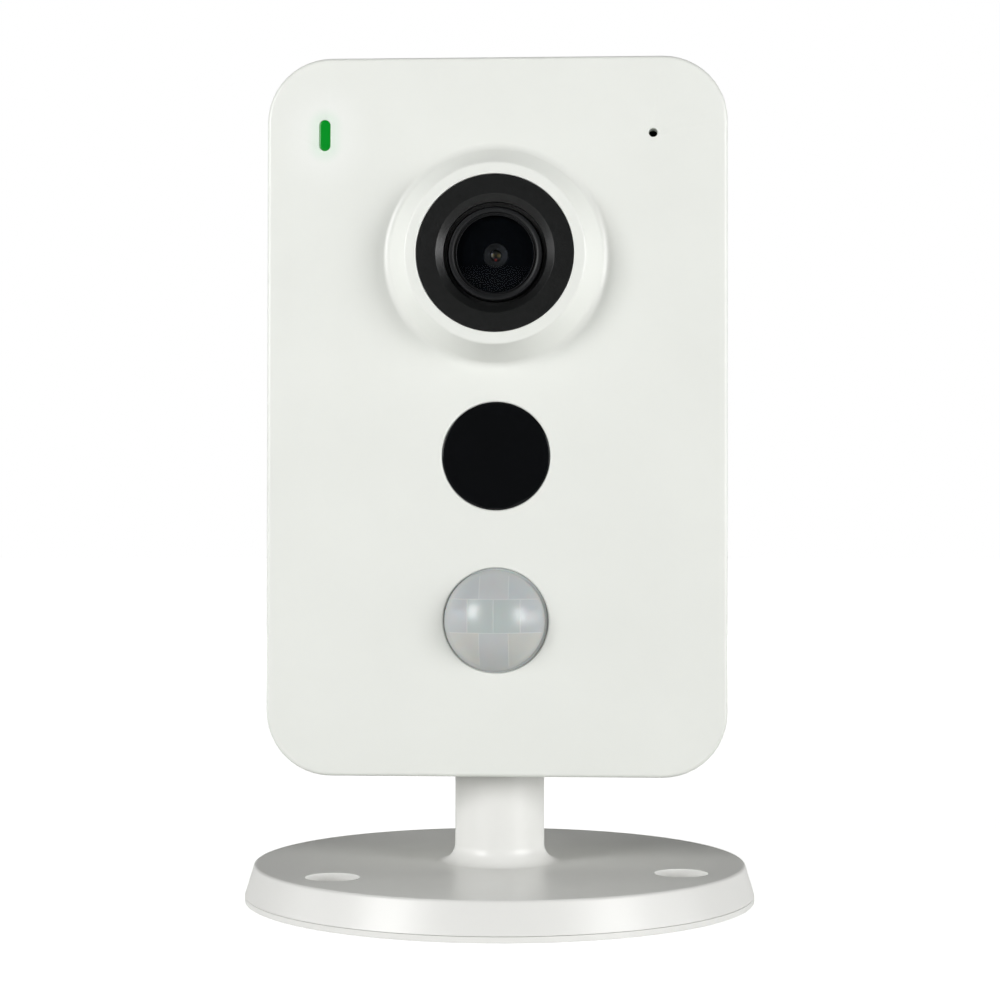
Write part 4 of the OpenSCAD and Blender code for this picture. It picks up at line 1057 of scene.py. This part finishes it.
class MakeLens(bpy.types.Operator):
    """Turns the trim ring, the barrel, the glass and the iris"""
    bl_idname = "security_camera.lens"
    bl_label = "Lens"

    def execute(self, context):
        lens = context.scene.security_camera.lens
        self.trim_ring(lens)
        self.barrel(lens)
        self.iris(lens)
        self.glass(lens)
        return {"FINISHED"}

    def turned(self, name, rings, material, *replaced, count=FINE, sharp=24.0):
        """A black ring-shaped piece round the lens axis, of radii and depths."""
        form = ring_form(upright(rings, LENS.x, LENS.z, count))
        build(name, form, material, "head", "black_plastic", *replaced, sharp=sharp)

    def trim_ring(self, lens):
        """The flat-faced ring round the lens, with its slope and the shelf in its bore."""
        low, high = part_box("lens_trim_ring")
        outer, front = radius_of("lens_trim_ring"), low.y
        e = 0.15 * MM
        rings = [(outer, high.y)]
        rings += [(outer - e + c, front + e - s) for c, s in arc(e, 4, 0, 90)]
        # Short steps at the ends of the slope and on the shelf keep the edges soft
        rings += [(lens.flat + 0.1 * MM, front), (lens.flat, front + 0.03 * MM),
                  (lens.bore + 0.06 * MM, front + lens.slope - 0.06 * MM), (lens.bore, front + lens.slope),
                  (lens.bore - 0.02 * MM, front + lens.shelf), (lens.ledge, front + lens.shelf + 0.05 * MM),
                  (lens.ledge, high.y)]
        self.turned("trim_ring", rings, "trim_black", "lens_trim_ring", sharp=20.0)

    def barrel(self, lens):
        """The barrel: its neck, its stepped front rim, the seat of the glass and the black cone inside."""
        low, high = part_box("lens_barrel")
        front, back = low.y, high.y
        neck_r, bore_r, seat_r = 6.0 * MM, 4.6 * MM, 5.76 * MM
        hood_end, seat_y = front + 7.35 * MM, front + 1.6 * MM
        hood_r = radius_of("lens_barrel")
        rings = [(neck_r, back), (neck_r, hood_end), (hood_r, hood_end)]
        rings += [(r * MM, front + deep * MM) for r, deep in BARREL_RIM]
        rings += [(seat_r, seat_y), (bore_r, seat_y), (bore_r, back)]
        self.turned("barrel", rings, "barrel_black", "lens_barrel")
        # The cone runs from the seat down to the iris, just clear of the barrel's bore
        mouth_r, throat_r, clear_r = 5.7 * MM, 3.2 * MM, 4.58 * MM
        iris_y, flange_y = front + lens.iris_deep, front + 1.58 * MM
        rings = ((mouth_r, front + 1.43 * MM), (4.5 * MM, front + 1.46 * MM), (throat_r, iris_y - 0.35 * MM),
                 (lens.iris, iris_y - 0.1 * MM), (lens.iris, back), (clear_r, back), (clear_r, flange_y),
                 (mouth_r, flange_y))
        self.turned("barrel_inside", rings, "dead_black_paint", count=ROUND)

    def iris(self, lens):
        """The iris plate, and the small domed lens that shows through its opening."""
        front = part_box("lens_barrel")[0].y + lens.iris_deep
        rim, back = lens.iris - 0.02 * MM, front + 0.5 * MM
        rings = ((rim, front + 0.05 * MM), (rim - 0.08 * MM, front), (lens.pupil, front + 0.2 * MM),
                 (lens.pupil, back), (rim, back))
        self.turned("iris_plate", rings, "blackened_brass", count=SMALL)
        # The dome is 0.3 mm high, and its edge lies 0.45 mm behind the plate's front
        rings = [((lens.pupil - 0.01 * MM) * math.sin(a), front + (0.45 - 0.3 * math.cos(a)) * MM) for a in
                 [math.radians(degrees) for degrees in (15, 30, 45, 60, 75, 90)]]
        form = closed_form(upright(rings, LENS.x, LENS.z, SMALL))
        build("pupil_lens", form, "pupil_glass", "head", "lens_glass")

    def glass(self, lens):
        """The front element: a shallow dome with a ground edge."""
        low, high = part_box("front_glass")
        radius = radius_of("front_glass")
        ball = (radius ** 2 + lens.bulge ** 2) / (2 * lens.bulge)
        radii = [radius * i / 24 for i in range(1, 25)]
        rings = [(r, low.y + ball - math.sqrt(ball ** 2 - r ** 2)) for r in radii]
        bm = bmesh.new()
        rows = skin(bm, upright(rings + [(radius, high.y)], LENS.x, LENS.z))
        tip(bm, rows[0], (LENS.x, low.y, LENS.z))
        fill(bm, rows[-1])
        glass = build("front_element", bm, "coated_glass", "head", "lens_glass", "front_glass")
        # Light passes the coated glass unhindered, so the inside of the barrel is lit through it
        glass.visible_shadow = False


class MakeWindows(bpy.types.Operator):
    """Makes the infrared window, the motion sensor's dome and the status light"""
    bl_idname = "security_camera.windows"
    bl_label = "Windows"

    def execute(self, context):
        windows = context.scene.security_camera.windows
        self.infrared()
        self.dome(windows)
        self.light()
        return {"FINISHED"}

    def infrared(self):
        """The flat infrared window with its rounded edge, and the flange behind the panel."""
        low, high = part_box("ir_window")
        e, flange = 0.2 * MM, radius_of("ir_window")
        rings = [(IR_R - e + s, low.y + e - c) for c, s in arc(e, 5, 0, 90)]
        rings += [(IR_R, SEAT_Y), (flange, SEAT_Y), (flange, high.y)]
        form = closed_form(upright(rings, IR.x, IR.z))
        build("infrared_window", form, "infrared_black", "head", "dark_window", "ir_window")

    def dome(self, windows):
        """The milky dome: a cap of cells, and the brim and flange that hold it behind the panel."""
        low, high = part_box("pir_lens")
        r, wall, out = windows.dome, windows.wall, FACE_Y - low.y
        ball, flange = (r ** 2 + out ** 2) / (2 * out), radius_of("pir_lens")
        # The rings lie closer together towards the dome's edge
        outer_r = [r * math.sin(math.pi / 2 * i / 40) for i in range(1, 41)]
        inner_r = [radius * (1 - wall / r) for radius in outer_r[::-2]]
        outer, inner = [
            [(radius, front + size - math.sqrt(size ** 2 - radius ** 2)) for radius in radii]
            for radii, front, size in ((outer_r, low.y, ball), (inner_r, low.y + wall, ball - wall))]
        centre = (PIR.x - windows.dome_aside, PIR.z)
        brim_y = FACE_Y + windows.brim
        # The flange is cut flat at its foot
        foot = low.z - PIR.z
        flange_points = [(PIR.x + a, PIR.z + max(b, foot)) for a, b in circle(flange, ROUND)]
        loops = upright(outer + [(r, brim_y)], *centre)
        loops += upright(((PIR_R, brim_y), (PIR_R, SEAT_Y)), PIR.x, PIR.z)
        loops += [at_depth(flange_points, y) for y in (SEAT_Y, high.y)]
        loops += upright([(r - wall, high.y)] + inner, *centre)
        bm = bmesh.new()
        rows = skin(bm, loops)
        tip(bm, rows[0], (centre[0], low.y, centre[1]))
        tip(bm, rows[-1], (centre[0], low.y + wall, centre[1]))
        build("motion_dome", bm, "milky", "head", "milky_lens", "pir_lens", sharp=40.0)

    def light(self):
        """The light guide: its softly rounded face, its flange behind the panel and its stem."""
        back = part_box("status_light_pipe")[1].y
        flange_out, flange_thick = 0.85 * MM, 0.8 * MM
        rings = [(wider * MM, FACE_Y + deep * MM) for wider, deep in LIGHT_EDGE]
        rings += [(0.0, SEAT_Y), (flange_out, SEAT_Y), (flange_out, SEAT_Y + flange_thick),
                  (0.0, SEAT_Y + flange_thick), (0.0, back)]
        build("status_light", closed_form(light_slots(rings)), "light_green", "head", "green_light",
              "status_light_pipe")


class MakeStand(bpy.types.Operator):
    """Makes the base with its recesses, its cover and feet, and the neck"""
    bl_idname = "security_camera.stand"
    bl_label = "Stand"

    def execute(self, context):
        stand = context.scene.security_camera.stand
        self.shell(stand)
        soften("base_cover", "base_plate", "white_stand", "stand", "white_plastic", 0.06)
        self.neck(stand)
        soften("rubber_feet", "foot_pads", "black_rubber", "stand", "rubber", 0.15, 3)
        return {"FINISHED"}

    def shell(self, stand):
        """The base's shell: its slanted rim, and the bosses and bores in it."""
        low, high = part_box("base_shell")
        foot_r, bottom, top = high.x, low.z, high.z
        top_r, ceiling = foot_r - stand.rim_slope, top - stand.wall
        lean = math.atan2(foot_r - top_r, top - bottom)
        e = stand.rim_round
        round_r = top_r - e * math.tan((math.pi / 2 - lean) / 2)
        inside_r = top_r - stand.wall
        # The bottom edge is broken by 0.03 mm, so that it catches a thin line of light above the cover
        rings = [(inside_r, ceiling), (inside_r, bottom), (foot_r - 0.03 * MM, bottom),
                 (foot_r - 0.005 * MM, bottom + 0.03 * MM)]
        for i in range(7):
            a = lean + (math.pi / 2 - lean) * i / 6
            rings.append((round_r + e * math.cos(a), top - e + e * math.sin(a)))
        bm = bmesh.new()
        rim = skin(bm, lying(rings))
        openings = self.recesses(bm, stand, top, ceiling, bottom + 0.05 * MM)
        openings.append(self.spigot_bore(bm, top, ceiling))
        bosses = self.screw_bosses(bm, ceiling, bottom + 0.05 * MM)
        fill(bm, rim[-1], *[rows[0] for rows in openings])
        fill(bm, rim[0], *[rows[-1] for rows in openings], *bosses)
        build("base_top", bm, "white_stand", "stand", "white_plastic", "base_shell")

    def recesses(self, bm, stand, top, ceiling, boss_foot):
        """The fixing screws' recesses, each with its bore and the boss round it."""
        bolt_r, sink_r, boss_r, circle_r = 2.2 * MM, 3.8 * MM, 5.4 * MM, 28.7 * MM
        ledge, e = top - 3.0 * MM, stand.hole_round
        rings = [(sink_r + e - s, top - e + c) for c, s in arc(e, 4, 0, 90)]
        rings += [(sink_r, ledge), (bolt_r + 0.1 * MM, ledge), (bolt_r, ledge - 0.1 * MM),
                  (bolt_r, boss_foot), (boss_r, boss_foot), (boss_r, ceiling)]
        places = [[circle_r * f(math.radians(bearing)) for f in (math.cos, math.sin)]
                  for bearing in RECESS_BEARINGS]
        return [skin(bm, lying(rings, x, y, SMALL)) for x, y in places]

    def spigot_bore(self, bm, top, ceiling):
        """The bore that the neck's spigot turns in, through a boss under the shell."""
        bore_r, boss_r, boss_foot = 5.05 * MM, 8.0 * MM, 2.65 * MM
        rings = ((bore_r + 0.1 * MM, top), (bore_r, top - 0.1 * MM), (bore_r, boss_foot), (boss_r, boss_foot),
                 (boss_r, ceiling))
        return skin(bm, lying(rings, count=SMALL))

    def screw_bosses(self, bm, ceiling, boss_foot):
        """The bosses for the cover's screws. Returns the vertices of their upper ends."""
        boss_r, bore_r, bore_end = 2.2 * MM, 0.95 * MM, 3.3 * MM
        rings = ((boss_r, ceiling), (boss_r, boss_foot), (bore_r, boss_foot), (bore_r, bore_end))
        ends = []
        for x, y in screw_places("cover_screws", 1):
            rows = skin(bm, lying(rings, x, y, TINY))
            fill(bm, rows[-1])
            ends.append(rows[0])
        return ends

    def neck(self, stand):
        """The neck: a turned post with a flared foot, between the spigot below it and the tongue above it."""
        foot_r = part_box("stalk")[1].x
        post_r, spigot_r, flare = stand.post, 5.0 * MM, foot_r - stand.post
        foot_z = BASE_TOP + 0.05 * MM
        top_z = HEAD_Z + 0.2 * MM
        # The spigot and the tongue are the CAD node's own ends, closed by caps that lie inside the post
        ends = copy_of("stalk")
        bm = bmesh.new()
        for z, cleared in ((foot_z - 0.04 * MM, "clear_outer"), (top_z + 0.02 * MM, "clear_inner")):
            part = ends.copy()
            bmesh.ops.bisect_plane(part, geom=part.verts[:] + part.edges[:] + part.faces[:],
                                   plane_co=(0, 0, z), plane_no=(0, 0, 1), **{cleared: True})
            cut = [edge for edge in part.edges if edge.is_boundary]
            bmesh.ops.triangle_fill(part, use_beauty=True, use_dissolve=False, edges=cut)
            end = bpy.data.meshes.new("stalk_end")
            part.to_mesh(end)
            part.free()
            bm.from_mesh(end)
            bpy.data.meshes.remove(end)
        ends.free()
        edge_z = foot_z + 0.1 * MM - stand.foot_sink
        rings = [(spigot_r, foot_z - 0.02 * MM), (spigot_r, edge_z - 0.01 * MM), (foot_r, edge_z - 0.01 * MM)]
        rings += [(foot_r - c, edge_z + flare - s) for c, s in arc(flare, 16, 90, 0)]
        # A second ring on the top keeps its triangles out of the post's smooth side
        rings += [(post_r, top_z), (post_r - 0.3 * MM, top_z)]
        rows = skin(bm, lying(rings))
        fill(bm, rows[0])
        fill(bm, rows[-1])
        build("neck_post", bm, "white_stand", "neck", "white_plastic", "stalk")


class MakeScrews(bpy.types.Operator):
    """Sets the screws of the head and of the base's cover"""
    bl_idname = "security_camera.screws"
    bl_label = "Screws"

    def execute(self, context):
        sizes = context.scene.security_camera.fasteners
        tree = screw_tree()
        low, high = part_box("case_screws")
        points = [(x, high.y, z) for x, z in screw_places("case_screws", 2)]
        self.place(tree, "case_screws", "head_screws", "head", points, (2.4, 1.8, 1.3), high.y - low.y,
                   -math.pi / 2, sizes)
        low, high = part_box("cover_screws")
        points = [(x, y, low.z) for x, y in screw_places("cover_screws", 1)]
        self.place(tree, "cover_screws", "cover_screw_set", "stand", points, (2.0, 0.4, 0.9), high.z - low.z,
                   math.pi, sizes)
        return {"FINISHED"}

    def place(self, tree, node, name, body, points, screw, tall, turn, sizes):
        """Puts a screw on each point. screw is its head's radius and thickness and its shank's radius, in mm.

        A thin head is domed by no more than 0.3 of its thickness.
        """
        head_r, head_t, shank_r = [size * MM for size in screw]
        grow(name, points, tree, "zinc_plated_steel", body, "steel", node, {
            "Head Radius": head_r, "Head Thickness": head_t, "Shank Radius": shank_r, "Length": tall,
            "Recess Width": sizes.slot_w * head_r / (2.4 * MM), "Recess Share": sizes.slot_share,
            "Dome": min(sizes.dome, head_t * 0.3), "Turn": (turn, 0.0, 0.0)})


class MakeSockets(bpy.types.Operator):
    """Makes the sockets, their contacts and the push buttons on the back"""
    bl_idname = "security_camera.sockets"
    bl_label = "Sockets"

    def execute(self, context):
        soften("ethernet_jack", "network_socket", "black_nylon", "head", "black_plastic", 0.15)
        soften("power_jack", "power_socket", "black_nylon", "head", "black_plastic", 0.12)
        soften("power_jack_pin", "power_pin", "tinned_steel", "head", "steel", 0.25, 3)
        soften("card_socket", "card_holder", "tinned_steel", "head", "steel", 0.06)
        soften("reset_button", "reset_cap", "black_nylon", "reset_key", "black_plastic", 0.25, 3)
        soften("pairing_button", "pairing_cap", "grey_abs", "pairing_key", "grey_plastic", 0.25, 3)
        # Eight sprung wires in the network socket, side by side. They rise 1.6 mm from its opening inwards.
        low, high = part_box("ethernet_contacts")
        radius = (high.z - low.z) / 2
        first = (low.x + radius, high.y, high.z - radius)
        pitch = (high.x - low.x - 2 * radius) / 7
        grow("socket_contacts", [first], contact_tree(), "gold_plate", "head", "brass", "ethernet_contacts",
             {"Pitch": pitch, "Radius": radius, "Length": high.y - low.y, "Sag": -1.6 * MM})
        return {"FINISHED"}


# CAD nodes that are shown as they are, under their finish
KEPT = {
    "zinc_plated_steel": ("ballast_plate", "pan_washer", "pan_screw", "tilt_pin", "tilt_nut", "board_screws"),
    "fibre_washer": ("tilt_washers",),
    "coated_glass": ("rear_glass", "ir_cut_filter", "clear_filter"),
    "black_nylon": ("lens_holder", "ir_cut_frame", "ir_cut_carriage", "speaker_frame"),
    "copper_coil": ("ir_cut_coil",),
    "chip_epoxy": ("image_sensor", "processor"),
    "board_green": ("sensor_board", "main_board", "ir_led_board", "pir_board"),
    "grey_abs": ("board_headers", "reset_plunger", "pairing_plunger"),
    "blasted_aluminium": ("heat_spreader",),
    "tinned_steel": ("wifi_shield", "reset_switch", "pairing_switch", "pir_sensor", "microphone"),
    "gold_plate": ("wifi_antenna",),
    "paper_cone": ("speaker_cone",),
    "ferrite": ("speaker_magnet",),
    "black_rubber": ("ir_shroud", "microphone_boot"),
    "clear_epoxy": ("ir_leds", "status_led"),
}


class FinishKept(bpy.types.Operator):
    """Gives the solids that are shown as they are their finishes"""
    bl_idname = "security_camera.kept"
    bl_label = "Inner parts"

    def execute(self, context):
        for name, nodes in KEPT.items():
            for node in nodes:
                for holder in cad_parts[node].material_slots:
                    holder.material = finish(name)
        return {"FINISHED"}


STEPS = (MakeStage, MakeFrontPanel, MakeRearHousing, MakeLens, MakeWindows, MakeStand, MakeScrews,
         MakeSockets, FinishKept)


class SecurityCameraPanel(bpy.types.Panel):
    """Lists the steps that build the security camera."""
    bl_idname = "VIEW3D_PT_security_camera"
    bl_label = "Security Camera"
    bl_space_type = "VIEW_3D"
    bl_region_type = "UI"
    bl_category = "Security Camera"

    def draw(self, context):
        for step in STEPS:
            self.layout.operator(step.bl_idname)


CLASSES = (StageSettings, WhiteSettings, HeadSettings, LensSettings, WindowSettings, StandSettings,
           FastenerSettings, CameraSettings) + STEPS + (SecurityCameraPanel,)


def register():
    """Registers the classes and puts the settings on the scene."""
    for item in CLASSES:
        bpy.utils.register_class(item)
    bpy.types.Scene.security_camera = PointerProperty(type=CameraSettings)


def unregister():
    """Takes the settings and the classes away."""
    del bpy.types.Scene.security_camera
    for item in reversed(CLASSES):
        bpy.utils.unregister_class(item)


def main():
    """Registers the add-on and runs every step."""
    register()
    for step in STEPS:
        area, name = step.bl_idname.split(".")
        getattr(getattr(bpy.ops, area), name)()


if __name__ == "__main__":
    main()
